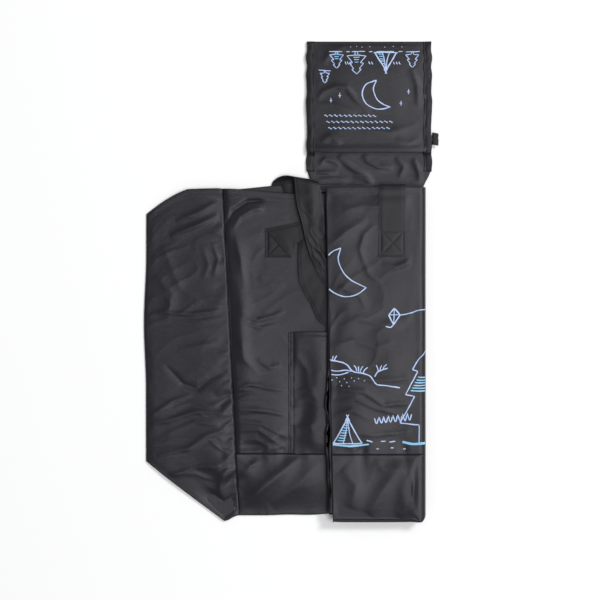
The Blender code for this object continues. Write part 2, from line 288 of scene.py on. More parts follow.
def cloth(name, us, vs, points, material, thickness=NYLON):
    """A cut of cloth: a grid over us and vs with its points in place, given its thickness.
    Returns the object and the laid grid (us, vs, points), which stitches and print are put on."""
    bpy.ops.object.select_all(action="DESELECT")
    bpy.ops.mesh.primitive_grid_add(x_subdivisions=len(us) - 1, y_subdivisions=len(vs) - 1, size=1)
    obj = bpy.context.object
    obj.name = obj.data.name = name
    obj.data.vertices.foreach_set("co", points.astype(np.float32).ravel())
    corner = np.empty(len(obj.data.loops), int)
    obj.data.loops.foreach_get("vertex_index", corner)
    flat = np.stack(np.meshgrid(us, vs), axis=-1).reshape(-1, 2)
    obj.data.uv_layers[0].data.foreach_set("uv", flat[corner].astype(np.float32).ravel())
    obj.data.materials.append(material)
    obj.data.shade_smooth()
    obj.data.update()
    solid = obj.modifiers.new("solidify", "SOLIDIFY")
    solid.thickness = thickness
    solid.offset = 0
    solid.use_even_offset = False
    bpy.ops.object.select_all(action="DESELECT")
    obj.select_set(True)
    bpy.context.view_layer.objects.active = obj
    bpy.ops.object.modifier_apply(modifier=solid.name)
    return obj, (us, vs, points)


def on_cloth(laid, u, v, lift, side=1):
    """Points and normals on a laid cloth at flat places u, v, raised by lift on its upper side (1) or its
    lower one (-1)."""
    us, vs, points = laid
    u, v = np.clip(u, us[0], us[-1]), np.clip(v, vs[0], vs[-1])
    column = np.clip(np.searchsorted(us, u) - 1, 0, len(us) - 2)
    row = np.clip(np.searchsorted(vs, v) - 1, 0, len(vs) - 2)
    across = ((u - us[column]) / (us[column + 1] - us[column]))[..., None]
    along = ((v - vs[row]) / (vs[row + 1] - vs[row]))[..., None]
    a, b = points[row, column], points[row, column + 1]
    c, d = points[row + 1, column], points[row + 1, column + 1]
    place = (a * (1 - across) + b * across) * (1 - along) + (c * (1 - across) + d * across) * along
    normal = np.cross((b - a) + (d - c), (c - a) + (d - b))
    normal /= np.linalg.norm(normal, axis=-1, keepdims=True) + 1e-12
    normal *= side * np.sign(normal[..., 2:] + 1e-9)
    return place + normal * lift, normal


def mesh_of(name, points, faces, material):
    """A new smooth mesh object in the world's own place."""
    mesh = bpy.data.meshes.new(name)
    mesh.from_pydata(np.reshape(points, (-1, 3)).tolist(), [], faces)
    mesh.materials.append(material)
    mesh.shade_smooth()
    obj = bpy.data.objects.new(name, mesh)
    bpy.context.scene.collection.objects.link(obj)
    return obj


# One stitch: a small low ball, drawn out along X, which each row repeats.
STITCH_PITCH = 2.9 * MM
STITCH_LENGTH = 2.2 * MM
THREAD = 0.45 * MM
bpy.ops.object.select_all(action="DESELECT")
bpy.ops.mesh.primitive_uv_sphere_add(segments=5, ring_count=4, radius=0.5, rotation=(0, pi / 2, 0))
bpy.ops.object.transform_apply(rotation=True)
model = bpy.context.object
STITCH = np.array([vert.co[:] for vert in model.data.vertices])
STITCH_FACES = [tuple(face.vertices) for face in model.data.polygons]
bpy.data.objects.remove(model)


def stitches(name, laid, lines, material, lift=NYLON / 2, side=1, pitch=STITCH_PITCH, thread=THREAD):
    """Rows of stitches on a laid cloth, one row along each line of flat (u, v) points."""
    corners, faces = [], []
    for line in lines:
        line = np.array(line, float)
        spans = np.hypot(*(line[1:] - line[:-1]).T)
        at = np.concatenate([[0], np.cumsum(spans)])
        middles = np.arange(pitch / 2, at[-1], pitch)
        ends = []
        for shift in (-0.5, 0.5):
            place = np.clip(middles + shift * STITCH_LENGTH * pitch / STITCH_PITCH, 0, at[-1])
            u, v = np.interp(place, at, line[:, 0]), np.interp(place, at, line[:, 1])
            ends.append(on_cloth(laid, u, v, lift + 0.1 * thread, side))
        (head, normal), (tail, _) = ends
        along = tail - head
        across = np.cross(normal, along)
        across /= np.linalg.norm(across, axis=1, keepdims=True) + 1e-12
        for middle, a, s, n in zip((head + tail) / 2, along, across, normal):
            base = len(corners) * len(STITCH)
            shape = STITCH[:, :1] * a + STITCH[:, 1:2] * s * thread + STITCH[:, 2:] * n * thread * 0.8
            corners.append(middle + shape)
            faces += [tuple(base + k for k in face) for face in STITCH_FACES]
    return mesh_of(name, np.array(corners), faces, material)


# The finish of the cloth. Taffeta is a tight plain weave of fine threads with a soft sheen.
def new_group(name, inputs, outputs):
    """A node group with those inputs (name, socket, value) and outputs (name, socket)."""
    group = bpy.data.node_groups.new(name, "ShaderNodeTree")
    for socket, kind, value in inputs:
        made = group.interface.new_socket(socket, in_out="INPUT", socket_type=kind)
        if value is not None:
            made.default_value = value
    for socket, kind in outputs:
        group.interface.new_socket(socket, in_out="OUTPUT", socket_type=kind)
    return group, group.nodes.new("NodeGroupInput").outputs, group.nodes.new("NodeGroupOutput").inputs


def node(tree, kind, inputs=(), **settings):
    """A node with its settings, and each of its inputs either linked or set to a value."""
    made = tree.nodes.new(kind)
    for key, value in settings.items():
        setattr(made, key, value)
    for key, value in dict(inputs).items():
        if isinstance(value, bpy.types.NodeSocket):
            tree.links.new(value, made.inputs[key])
        else:
            made.inputs[key].default_value = value
    return made


def maths(tree, operation, *values):
    return node(tree, "ShaderNodeMath", dict(enumerate(values)), operation=operation).outputs[0]


def mixed(tree, factor, first, second):
    """A colour between two colours."""
    return node(tree, "ShaderNodeMix", {0: factor, 6: first, 7: second}, data_type="RGBA").outputs[2]


def make_weave():
    """Plain weave: rounded threads both ways. Their height feeds a bump, and the gaps between are painted
    darker, as painted shade between the threads.
    """
    group, given, out = new_group(
        "plain_weave",
        [("Flat", "NodeSocketVector", None), ("Thread Pitch", "NodeSocketFloat", 0.0004)],
        [("Height", "NodeSocketFloat"), ("Gaps", "NodeSocketFloat")],
    )
    axes = node(group, "ShaderNodeSeparateXYZ", {0: given["Flat"]})
    turn = maths(group, "DIVIDE", pi, given["Thread Pitch"])
    waves = []
    for axis in ("X", "Y"):
        wave = maths(group, "SINE", maths(group, "MULTIPLY", axes.outputs[axis], turn))
        waves.append(maths(group, "ABSOLUTE", wave))
    height = maths(group, "MULTIPLY", *waves)
    group.links.new(height, out["Height"])
    group.links.new(maths(group, "SUBTRACT", 1, height), out["Gaps"])
    return group


def make_crinkle():
    """Fine crinkles that handling leaves in coated nylon, finer than the folds that are in the mesh."""
    group, given, out = new_group(
        "fine_crinkle",
        [("Flat", "NodeSocketVector", None), ("Size", "NodeSocketFloat", 0.012)],
        [("Height", "NodeSocketFloat"), ("Patches", "NodeSocketFloat")],
    )
    scale = maths(group, "DIVIDE", 1, given["Size"])
    drawn_out = node(group, "ShaderNodeMapping", {"Vector": given["Flat"], "Scale": (2.2, 1, 1)},
                     vector_type="TEXTURE").outputs["Vector"]
    fine = {"Vector": drawn_out, "Scale": scale, "Detail": 3.0, "Roughness": 0.55, "Distortion": 0.8}
    ripple = node(group, "ShaderNodeTexNoise", fine).outputs["Fac"]
    wide = {"Vector": given["Flat"], "Scale": maths(group, "DIVIDE", scale, 5), "Detail": 3.0}
    patches = node(group, "ShaderNodeTexNoise", wide).outputs["Fac"]
    group.links.new(maths(group, "MULTIPLY", ripple, patches), out["Height"])
    group.links.new(patches, out["Patches"])
    return group


WEAVE = make_weave()
CRINKLE = make_crinkle()


def nylon(name, dark, light, roughness, pitch=0.42 * MM, size=7.5 * MM, specular=0.36):
    """Black nylon: its colour wanders between two near-blacks, with weave and crinkles in its bump. pitch is
    the weave's, and size the crinkles'."""
    material = plain_material(name, dark, roughness, specular)
    tree = material.node_tree
    shader = tree.nodes["Principled BSDF"]
    flat = node(tree, "ShaderNodeUVMap").outputs["UV"]
    weave = node(tree, "ShaderNodeGroup", node_tree=WEAVE)
    tree.links.new(flat, weave.inputs["Flat"])
    weave.inputs["Thread Pitch"].default_value = pitch
    fine = node(tree, "ShaderNodeGroup", node_tree=CRINKLE)
    tree.links.new(flat, fine.inputs["Flat"])
    fine.inputs["Size"].default_value = size
    wandering = mixed(tree, fine.outputs["Patches"], (*dark, 1), (*light, 1))
    # Painted shade: the base colour is darkened towards near-black in the weave's gaps between threads.
    gaps = maths(tree, "MULTIPLY", weave.outputs["Gaps"], 0.35)
    tree.links.new(mixed(tree, gaps, wandering, (0.003, 0.003, 0.003, 1)), shader.inputs["Base Color"])
    rough = maths(tree, "ADD", maths(tree, "MULTIPLY", fine.outputs["Patches"], 0.16), roughness - 0.08)
    tree.links.new(rough, shader.inputs["Roughness"])
    creased = node(tree, "ShaderNodeBump", {"Height": fine.outputs["Height"], "Strength": 0.24,
                                            "Distance": 0.0016})
    woven = node(tree, "ShaderNodeBump", {"Height": weave.outputs["Height"], "Strength": 0.25,
                                          "Distance": 0.00012, "Normal": creased.outputs["Normal"]})
    tree.links.new(woven.outputs["Normal"], shader.inputs["Normal"])
    shader.inputs["Specular Tint"].default_value = (0.96, 0.94, 1.0, 1)
    shader.inputs["Sheen Weight"].default_value = 0.1
    shader.inputs["Sheen Roughness"].default_value = 0.35
    shader.inputs["Sheen Tint"].default_value = (0.85, 0.83, 0.9, 1)
    return material


black_taffeta = nylon("black_taffeta", (0.0086, 0.0075, 0.0116), (0.0148, 0.0141, 0.0174), 0.39)
black_thread = plain_material("black_thread", (0.010, 0.009, 0.011), 0.5)

FRONT_Z, SIDE_FRONT_Z = level("front_panel"), level("front_panel_side")
SEAM_LEAN = (-8 * MM, 6 * MM)  # how far the left seam strays from straight, at the mouth and at the bottom
EDGE_LEAN = (-2 * MM, 4 * MM)  # and the turned side's left edge
SIDE_CEILING = SIDE_FRONT_Z + 2.6 * MM


def lean(y, ends):
    return ends[0] + (ends[1] - ends[0]) * np.clip(-y / PANEL_HEIGHT, -0.05, 1.25)


def seam_stray(u, y):
    """How far cloth at u from the left seam is shifted with it."""
    return lean(y, SEAM_LEAN) * (1 - ease(u, 0, 90 * MM))


def edge_stray(x, y):
    return lean(y, EDGE_LEAN) * (1 - ease(x, TURNED_EDGE, TURNED_EDGE + 60 * MM))


def hem_step(v, width=HEM):
    """The doubled cloth of a hem, which ends at its stitches, and the pinch that they make."""
    doubled = (1 - ease(v, width - 0.8 * MM, width + 0.8 * MM)) * 0.5 * MM
    return doubled - 0.45 * MM * bump(v, width - HEM_INSET, 1.2 * MM)


def hem_hold(v, firmness=0.75):
    """How firmly a hem's doubled cloth keeps its place."""
    return firmness * (1 - ease(v, 6 * MM, 9 * MM))


def side_bottom_seam(x):
    """Height of the seam between the turned side's front panel and its bottom."""
    return SIDE_FRONT_Z - 0.6 * MM + 0.5 * MM * noise(x, 0 * x, 9 * MM, 18)


def front_mouth(u):
    """How far the front panel's mouth strays outwards: it peeks out beyond the back panel's."""
    return (-2 * MM + 6 * MM * ease(u, 0, 75 * MM)) * (1 - ease(u, 120 * MM, FOLD_X - CAP))


def front_panel_points(u, v):
    top_side = ease(u, FOLD_X, FOLD_X + 2 * CAP)
    y = -v + front_mouth(u) * (1 - ease(v, 0, 70 * MM))
    x, z = turned(u, FRONT_Z, SIDE_FRONT_Z, CAP - 0.4 * MM)
    bx = 2 * FOLD_X - u  # where the turned cloth lies across the bag
    x = x + seam_stray(u, y) * (1 - top_side) + edge_stray(bx, y) * ease(u, FOLD_X, FOLD_X + CAP)
    lower = ease(-y, 170 * MM, 215 * MM)
    seeds = 0.9 * MM * noise(bx, y, 34 * MM, 11)
    folds = 0.5 * MM * creases(bx, y, 14 * MM, 40 * MM, 38, 12) * (1 - lower)
    folds += 0.42 * MM * creases(bx, y, 10 * MM, 50 * MM, -6, 14) * lower + folds_of(bx, y, [
        ([(118, -25), (138, -20), (152, -21), (192, -12)], 6, 1.1),
        ([(101, -62), (120, -47), (143, -33)], 7, 0.9),
        ([(139, -82), (145, -91), (155, -98)], 5, 0.9),
        ([(151, -38), (139, -50), (135, -65), (139, -78), (145, -87)], 5, 1.0),
        ([(185, -35), (193, -48), (195, -62), (187, -77), (171, -83), (157, -79)], 5, 1.3),
        ([(103, -110), (116, -104), (134, -112), (142, -128)], 6, 0.8),
        ([(110, -146), (132, -136), (160, -142), (202, -130)], 7, 0.7),
        ([(103, -165), (128, -158), (150, -166), (170, -160)], 6, 0.7),
        ([(103, -208), (138, -211), (159, -225), (191, -222)], 5, 1.3),
        ([(103, -222), (128, -218), (150, -228), (182, -236)], 4, 0.9),
        ([(104, -236), (124, -230), (146, -240)], 4, 0.8),
        ([(118, -196), (150, -200), (202, -196)], 5, 0.8),
        ([(120, -252), (150, -256), (200, -250)], 5, 0.8),
    ])
    edge = np.exp(-(PANEL_WIDTH - u) / (5 * MM))
    seam = ease(PANEL_HEIGHT - v, 0, 6 * MM)
    top = z + seeds - 1.3 * MM * edge
    top = side_bottom_seam(bx) * (1 - seam) + top * seam
    bottom = z + 0.3 * MM * noise(u, y, 30 * MM, 17)
    points = in_bag(x, y, top * top_side + bottom * (1 - top_side))
    held = np.where(u < FOLD_X + 2 * CAP, 1.0, 0.0)
    held = np.maximum(held, 1 - ease(u, FOLD_X + 2 * CAP, FOLD_X + 3 * CAP))
    held[:, -1] = held[-1] = 1
    held = np.maximum(held, hem_hold(v))
    held[0] = np.maximum(held[0], 0.9)
    spare = 0.006 + 0.003 * bump(-y, 205 * MM, 35 * MM)
    spare_y = spare + 0.012 * np.exp(-(PANEL_WIDTH - u) / (10 * MM))
    spare_x = spare + 0.025 * np.exp(-(PANEL_HEIGHT - v) / (10 * MM)) + 0.01 * np.exp(-v / (14 * MM))
    points = settle(points, held, spare_x, spare_y, SIDE_FRONT_Z - 1.6 * MM, SIDE_CEILING, folds)
    points[..., 2] += hem_step(v) * top_side
    return points


def over_fold(piece):
    """Cloth that goes round the fold: its world place is baked into its mesh."""
    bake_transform(piece)


panel_vs = steps(0, 1.0 * MM, 12 * MM, FINE, PANEL_HEIGHT)
front_us = steps(0, COARSE, FOLD_X - CAP, 1.0 * MM, FOLD_X + CAP, 1.3 * MM, PANEL_WIDTH)
front_points = front_panel_points(*np.meshgrid(front_us, panel_vs))
front_panel, front_laid = cloth("front_panel", front_us, panel_vs, front_points, black_taffeta)
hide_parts("front_panel", "front_panel_side")
over_fold(front_panel)
hem_row = [(2 * MM, HEM - HEM_INSET), (PANEL_WIDTH - 2 * MM, HEM - HEM_INSET)]
front_stitches = stitches("front_hem_stitches", front_laid, [hem_row], black_thread)
over_fold(front_stitches)

# ---------------------------------------------------------------------------------------------------------
# Back panel: the same cut of taffeta. It lies inside the fold, so it shows left of the turned side, where it
# is drawn into gathers along the left seam and sags into soft folds between the seam and the sleeve.
# ---------------------------------------------------------------------------------------------------------
BACK_Z, SIDE_BACK_Z = level("back_panel") - 0.9 * MM, level("back_panel_side")
SLEEVE_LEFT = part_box("trolley_sleeve")[0][0] - SEAM_X
SLEEVE_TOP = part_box("trolley_sleeve")[1][1] - MOUTH_Y
LEFT_CEILING = BACK_Z + 3.6 * MM
LEFT_FLOOR = FRONT_Z + 1.2 * MM
HIDING, HIDDEN = 120 * MM, 150 * MM  # well under the turned side: the buckles fade out between these
LEFT_FOLDS = [  # pressed into the back panel and the left gusset: points (x, y), width and height
    ([(-6, -42), (3, -25), (18, -15), (54, -13)], 3, -2.2),
    ([(2, -44), (10, -31), (24, -23), (46, -21)], 4, 1.2),
    ([(-62, -51), (-37, -41), (-12, -29)], 5, 2.0),
    ([(-56, -36), (-32, -26), (-10, -14)], 4.5, 1.2),
    ([(-82, -76), (-60, -66), (-42, -62)], 5, 0.6),
    ([(-18, -58), (-12, -74), (-17, -92)], 3.5, 0.7),
    ([(-28, -62), (-22, -80), (-28, -96)], 5, 0.6),
    ([(-76, -129), (-40, -132), (-4, -126)], 3.5, 1.2),
    ([(-60, -137), (-30, -139), (-5, -134)], 3, 0.6),
    ([(-54, -169), (-30, -164), (-6, -158)], 5, 0.6),
    ([(-68, -184), (-49, -204), (-34, -209), (-20, -197), (-3, -189)], 4.5, -1.3),
    ([(-86, -239), (-60, -222), (-40, -215)], 3.5, 1.0),
    ([(-84, -246), (-64, -242), (-34, -232), (-3, -234)], 3.5, 1.2),
    ([(-66, -255), (-36, -243), (-10, -246)], 3.5, 0.8),
    ([(-76, -278), (-44, -271), (-24, -257), (-3, -249)], 4, 1.3),
    ([(-22, -262), (-10, -270), (4, -275)], 3, 0.9),
    ([(-66, -300), (-34, -290), (-10, -287)], 4, 1.0),
    ([(5, -50), (11, -73), (16, -108)], 6, 1.0),
    ([(30, -92), (44, -102), (56, -98)], 6, 0.6),
    ([(11, -131), (28, -138), (47, -133), (57, -127)], 3.5, 1.1),
    ([(14, -140), (32, -146), (50, -142)], 3, 0.7),
    ([(12, -156), (15, -178), (30, -194)], 6, 1.0),
    ([(28, -178), (42, -187), (54, -184)], 4, 0.8),
    ([(2, -214), (20, -204), (41, -208), (60, -211)], 3.5, 1.2),
    ([(4, -220), (24, -214), (46, -216)], 3, 0.7),
    ([(3, -229), (30, -231), (60, -236)], 3.5, 1.1),
    ([(4, -242), (32, -245), (60, -259)], 3.5, 1.1),
    ([(5, -251), (30, -251), (60, -272)], 3.5, 1.0),
    ([(8, -262), (26, -261), (42, -269)], 3, 0.8),
]


def left_creases(x, y):
    """The finer wrinkles: slanting and few in the upper half, level and close together in the lower."""
    lower = ease(-y, 175 * MM, 225 * MM)
    upper = 0.6 * creases(x, y, 14 * MM, 44 * MM, 28, 23)
    return MM * (upper * (1 - lower) + 0.8 * creases(x, y, 9 * MM, 70 * MM, 6, 28) * lower)


def beside_seam(y):
    """1 along the upper half of the left seam, which is drawn down into a valley."""
    return ease(-y, 30 * MM, 60 * MM) * (1 - ease(-y, 185 * MM, 215 * MM))


def side_seam(y):
    """Height of the left seam, which dips between its gathers."""
    gathers = 0.35 * noise(y, 0 * y, 9 * MM, 25) + 0.25 * noise(y, 0 * y, 4.5 * MM, 26)
    closing = ease(-y, PANEL_HEIGHT, PANEL_HEIGHT + 64 * MM)
    return (BACK_Z - 0.2 * MM + MM * gathers * (2 - beside_seam(y))) * (1 - closing) + 1.2 * MM * closing


def seam_slit(out, width):
    """The narrow groove that the seam's thread pulls into the cloth."""
    return -1.9 * MM * bump(out, 0, width)


def bottom_seam(x):
    """Height of the seam between the back panel and the bottom."""
    to_side = side_seam(-PANEL_HEIGHT) - BACK_Z + 0.7 * MM
    return BACK_Z - 0.7 * MM + 0.5 * MM * noise(x, 0 * x, 9 * MM, 27) + to_side * np.exp(-x / (6 * MM))


def left_spare(y):
    """Spare thread length at y: the lower half of the bag is the more crumpled."""
    return 0.005 + 0.003 * ease(-y, 140 * MM, 220 * MM)


def back_mouth(u):
    """How far the back panel's mouth is drawn down."""
    return (MM + 5 * MM * ease(u, 0, 70 * MM)) * (1 - ease(u, 120 * MM, FOLD_X - CAP))


def side_swell(u, y):
    """Beside the turned side's edge the layers below swell up, and leave a dark slit along it."""
    edge = u - TURNED_EDGE - edge_stray(TURNED_EDGE, y)
    return 2.6 * MM * ease(-y, 140 * MM, 165 * MM) * bump(edge, -7 * MM, 6 * MM)


def back_panel_points(u, v):
    y = -v - back_mouth(u) * (1 - ease(v, 0, 70 * MM))
    x, z = turned(u, BACK_Z, SIDE_BACK_Z, 3.5 * MM)
    x = x + seam_stray(u, y)
    seeds = 0.5 * MM * noise(x, y, 44 * MM, 21)
    folds = left_creases(x, y) + folds_of(x, y, LEFT_FOLDS)
    ridge = 14 * MM + 4 * MM * noise(y, 0 * y, 24 * MM, 24)
    uneven = 0.75 + 0.5 * noise(y, 0 * y, 17 * MM, 29)
    folds += MM * beside_seam(y) * uneven * (1.1 * bump(u, ridge, 7 * MM) - 0.9 * bump(u, 4 * MM, 5 * MM))
    shown = 1 - ease(u, HIDING, HIDDEN)
    under_straps = ease(u, 34 * MM, 42 * MM) * (1 - ease(v, 85 * MM, 110 * MM))
    z = z + seeds * shown * (1 - 0.7 * under_straps) + side_swell(u, y)
    at_side, at_bottom = ease(u, 0, 4 * MM), ease(PANEL_HEIGHT - v, 0, 5 * MM)
    z = side_seam(y) * (1 - at_side) + z * at_side
    z = np.where(u < FOLD_X - CAP, bottom_seam(u) * (1 - at_bottom) + z * at_bottom, z)
    points = in_bag(x, y, z)
    held = ease(u, HIDING, HIDDEN)
    held[:, 0] = held[-1] = 1
    held = np.maximum(held, hem_hold(v))
    held = np.maximum(held, 0.5 * under_straps)
    held[0] = np.maximum(held[0], 0.9)
    spare = left_spare(y)
    spare_y = 1.3 * spare + 0.010 * np.exp(-u / (12 * MM))
    spare_x = 0.7 * spare + 0.03 * np.exp(-(PANEL_HEIGHT - v) / (11 * MM))
    ceiling = LEFT_CEILING - 2.3 * MM * under_straps
    points = settle(points, held, spare_x * shown, spare_y * shown, np.where(u < HIDDEN, LEFT_FLOOR, 0),
                    np.where(u < HIDDEN, ceiling, 1), folds * shown * (1 - 0.7 * under_straps))
    points[..., 2] += hem_step(v) * shown + seam_slit(u, 3.2 * MM)
    return points


back_us = steps(0, FINE, 110 * MM, COARSE, FOLD_X - CAP, 1.4 * MM, FOLD_X + CAP, COARSE, PANEL_WIDTH)
back_points = back_panel_points(*np.meshgrid(back_us, panel_vs))
back_panel, back_laid = cloth("back_panel", back_us, panel_vs, back_points, black_taffeta)
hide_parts("back_panel", "back_panel_side")
over_fold(back_panel)
back_stitches = stitches("back_hem_stitches", back_laid, [hem_row], black_thread)
over_fold(back_stitches)

# ---------------------------------------------------------------------------------------------------------
# Bottom panel: one cut that joins the two panels below, folded flat on its middle line. With them it goes
# round the fold, where the turned side's part is drawn out a little longer.
# ---------------------------------------------------------------------------------------------------------
BOTTOM_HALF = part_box("front_panel")[0][1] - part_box("bottom_front_half")[0][1]
TURNED_BOTTOM_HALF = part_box("front_panel")[0][1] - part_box("bottom_side_front_half")[0][1]


def bottom_points(u, s):
    """s runs from -1 at the front panel's seam, through 0 at the crease, to 1 at the back panel's seam."""
    drawn = ease(u, FOLD_X - CAP, FOLD_X + CAP)
    away = 1 - np.abs(s)  # 0 at a seam, 1 at the crease
    depth = BOTTOM_HALF + (TURNED_BOTTOM_HALF - BOTTOM_HALF) * drawn
    depth = depth - (2 * MM + 2 * MM * noise(u, 0 * u, 40 * MM, 30)) * (1 - drawn) * ease(u, 30 * MM, 80 * MM)
    y = -PANEL_HEIGHT - depth * (1 - np.abs(s) ** 1.1)
    back = ease(s, -0.06, 0.06)
    low = (FRONT_Z * (1 - back) + BACK_Z * back) * (1 - away**1.8) + 1.1 * MM * away**1.8
    high_crease = (SIDE_FRONT_Z + SIDE_BACK_Z) / 2 + 0.6 * MM
    high = (SIDE_FRONT_Z * (1 - back) + SIDE_BACK_Z * back) * (1 - away**2.2) + high_crease * away**2.2
    reach = (CAP - 0.4 * MM) * (1 - back) + 3.5 * MM * back
    x, z = turned(u, low, high, reach)
    bx = 2 * FOLD_X - u
    x = x + seam_stray(u, y) * (1 - drawn) + edge_stray(bx, y) * ease(u, FOLD_X, FOLD_X + CAP)
    low_shown = back * (1 - ease(u, 110 * MM, 140 * MM))
    high_shown = (1 - back) * ease(u, FOLD_X + CAP, FOLD_X + 2 * CAP)
    seeds = 0.5 * MM * noise(x, y, 34 * MM, 31)
    folds = 0.4 * MM * creases(x, y, 12 * MM, 40 * MM, 48, 32) + folds_of(x, y, [
        ([(74, -277), (48, -300), (8, -333)], 11, 2.8),
        ([(94, -282), (72, -306), (44, -330)], 13, 1.4),
        ([(30, -280), (14, -298), (6, -310)], 7, 1.2),
        ([(8, -280), (20, -288), (34, -284)], 3, 0.8),
    ])
    waves = 0.5 * MM * noise(bx, y, 40 * MM, 36)
    side_folds = 0.4 * MM * creases(bx, y, 14 * MM, 44 * MM, 50, 37) + folds_of(bx, y, [
        ([(180, -280), (168, -298), (142, -336)], 12, 2.2),
        ([(112, -290), (128, -306), (122, -330)], 13, 1.6),
        ([(150, -280), (158, -290), (182, -292)], 9, 1.1),
        ([(196, -300), (184, -318), (176, -340)], 10, 1.4),
    ])
    open_part = ease(away, 0, 0.1)
    z = z + (seeds * low_shown + waves * high_shown) * open_part
    at_side = ease(u, 0, 6 * MM)
    to_seams = (side_seam(y) - z) * (1 - at_side) + (bottom_seam(u) - z) * (1 - open_part) * at_side
    z = z + to_seams * low_shown
    z = z + (side_bottom_seam(bx) - z) * (1 - open_part) * high_shown
    points = in_bag(x, y, z)
    shown = low_shown + high_shown
    held = 1 - shown
    held[:, 0] = held[:, -1] = held[0] = held[-1] = 1
    held = np.maximum(held, 0.8 * ease(away, 0.93, 0.99))
    seam_y = np.abs(y + PANEL_HEIGHT)
    spare_x = 0.006 + 0.014 * np.exp(-seam_y / (11 * MM))
    spare_y = 0.006 + 0.015 * np.exp(-u / (15 * MM))
    floor = np.where(high_shown > 0.5, SIDE_BACK_Z + 0.8 * MM, 1.0 * MM)
    ceiling = np.where(high_shown > 0.5, SIDE_CEILING, LEFT_CEILING)
    middle = (u > 110 * MM) & (u < FOLD_X + 2 * CAP)
    return settle(points, held, spare_x * shown, spare_y * shown, np.where(middle, 0, floor),
                  np.where(middle, 1, ceiling), (folds * low_shown + side_folds * high_shown) * open_part)


bottom_ss = np.concatenate([-np.linspace(1, 0.05, 44), np.linspace(-0.05, 0.05, 7)[1:-1],
                            np.linspace(0.05, 1, 44)])
bottom_us = steps(0, 1.4 * MM, 112 * MM, COARSE, FOLD_X - CAP, 1.2 * MM, FOLD_X + CAP, 1.4 * MM, PANEL_WIDTH)
bottom_grid = bottom_points(*np.meshgrid(bottom_us, bottom_ss))
bottom_panel, _ = cloth("bottom_panel", bottom_us, bottom_ss * BOTTOM_HALF, bottom_grid, black_taffeta)
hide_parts("bottom_front_half", "bottom_back_half", "bottom_side_front_half",
            "bottom_side_back_half")
over_fold(bottom_panel)

# ---------------------------------------------------------------------------------------------------------
# Left gusset: one cut, 176 mm wide, drawn out sideways and creased along its middle. Its mouth falls away to
# the crease, and its lower corner is folded under, which gives the bag its slanting corner.
# ---------------------------------------------------------------------------------------------------------
GUSSET = SEAM_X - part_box("left_gusset_front_half")[0][0]
GUSSET_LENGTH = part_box("left_gusset_front_half")[1][1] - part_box("left_gusset_front_half")[0][1]
CORNER_RISE = 62 * MM  # how much higher the slanting corner is at the crease than at its low end
CORNER_END = 14 * MM  # from the seam to that low end
MOUTH_FLAT, MOUTH_DIP = 38 * MM, 24 * MM  # how far out the mouth begins to fall away, and how far it falls


def gusset_edges(s):
    """Layer (0 far, 1 near), distance from the seam, top edge and bottom edge. s is 0 at the far seam, 1 at
    the crease and 2 at the near seam."""
    near = ease(s, 0.96, 1.04)
    out = (1 - np.abs(1 - s)) ** 0.93 * GUSSET
    top = -MOUTH_DIP * np.clip((out - MOUTH_FLAT) / (GUSSET - MOUTH_FLAT), 0, 1) ** 1.35
    top = top - 3 * MM * ease(out, 0, GUSSET)
    top = top - (2 * MM * (1 - near) + MM * near) * (1 - ease(out, 0, GUSSET * 0.9))
    slant = np.clip((GUSSET - out) / (GUSSET - CORNER_END), 0, 1)
    foot = -GUSSET_LENGTH + CORNER_RISE * (1 - slant) + 6 * MM * (1 - ease(out, 0, CORNER_END))
    return near, out, top, foot


def gusset_points(s, v):
    near, out, top, foot = gusset_edges(s)
    y = top + (foot - top) * v
    share = out / GUSSET
    crease_stray = 1.4 * MM * noise(y, 0 * y, 70 * MM, 41)
    x = -out + lean(y, SEAM_LEAN) * (1 - share) + crease_stray * ease(share, 0.7, 1)
    z_near = BACK_Z + (1.7 * MM - BACK_Z) * share**1.6
    z_far = FRONT_Z + (0.5 * MM - FRONT_Z) * share
    z = z_far * (1 - near) + z_near * near
    closing = ease(-y, PANEL_HEIGHT, PANEL_HEIGHT + 62 * MM)
    z = z + (1.1 * MM - z) * closing * 0.85
    seeds = 0.5 * MM * noise(x, y, 44 * MM, 42)
    folds = left_creases(x, y) + folds_of(x, y, LEFT_FOLDS + [
        ([(2, -279), (-16, -290), (-34, -290)], 5, 0.9),
        ([(2, -281), (-10, -304), (-12, -326)], 5, 0.9),
        ([(-78, -90), (-60, -110), (-66, -140)], 9, 0.7),
        ([(-30, -120), (-52, -104), (-70, -60)], 9, 0.6),
    ])
    z = z + seeds * near * ease(GUSSET - out, 0, 8 * MM)
    at_seam = ease(out, 0, 4 * MM)
    z = z + (side_seam(y) - z) * (1 - at_seam) * near
    points = in_bag(x, y, np.maximum(z, 0.25 * MM))
    held = 1 - ease(s, 1.02, 1.08)
    held[:, -2:] = held[-1] = 1
    depth = top - y
    held = np.maximum(held, hem_hold(depth))
    held = np.maximum(held, 0.6 * ease(v, 0.97, 0.99))
    spare = left_spare(y) * near
    spare_y = 1.3 * spare + 0.022 * np.exp(-out / (15 * MM)) * near
    open_part = near * ease(GUSSET - out, 0, 8 * MM) * ease(v, 1.0, 0.97)
    floor, ceiling = np.where(s > 1.04, 0.7 * MM, 0), np.where(s > 1.04, LEFT_CEILING, 1)
    points = settle(points, held, spare, spare_y, floor, ceiling, folds * open_part)
    points[..., 2] += hem_step(depth) * near * ease(GUSSET - out, 0, 10 * MM)
    points[..., 2] += seam_slit(out, 0.12 * MM) * near * (1 - closing)
    return points


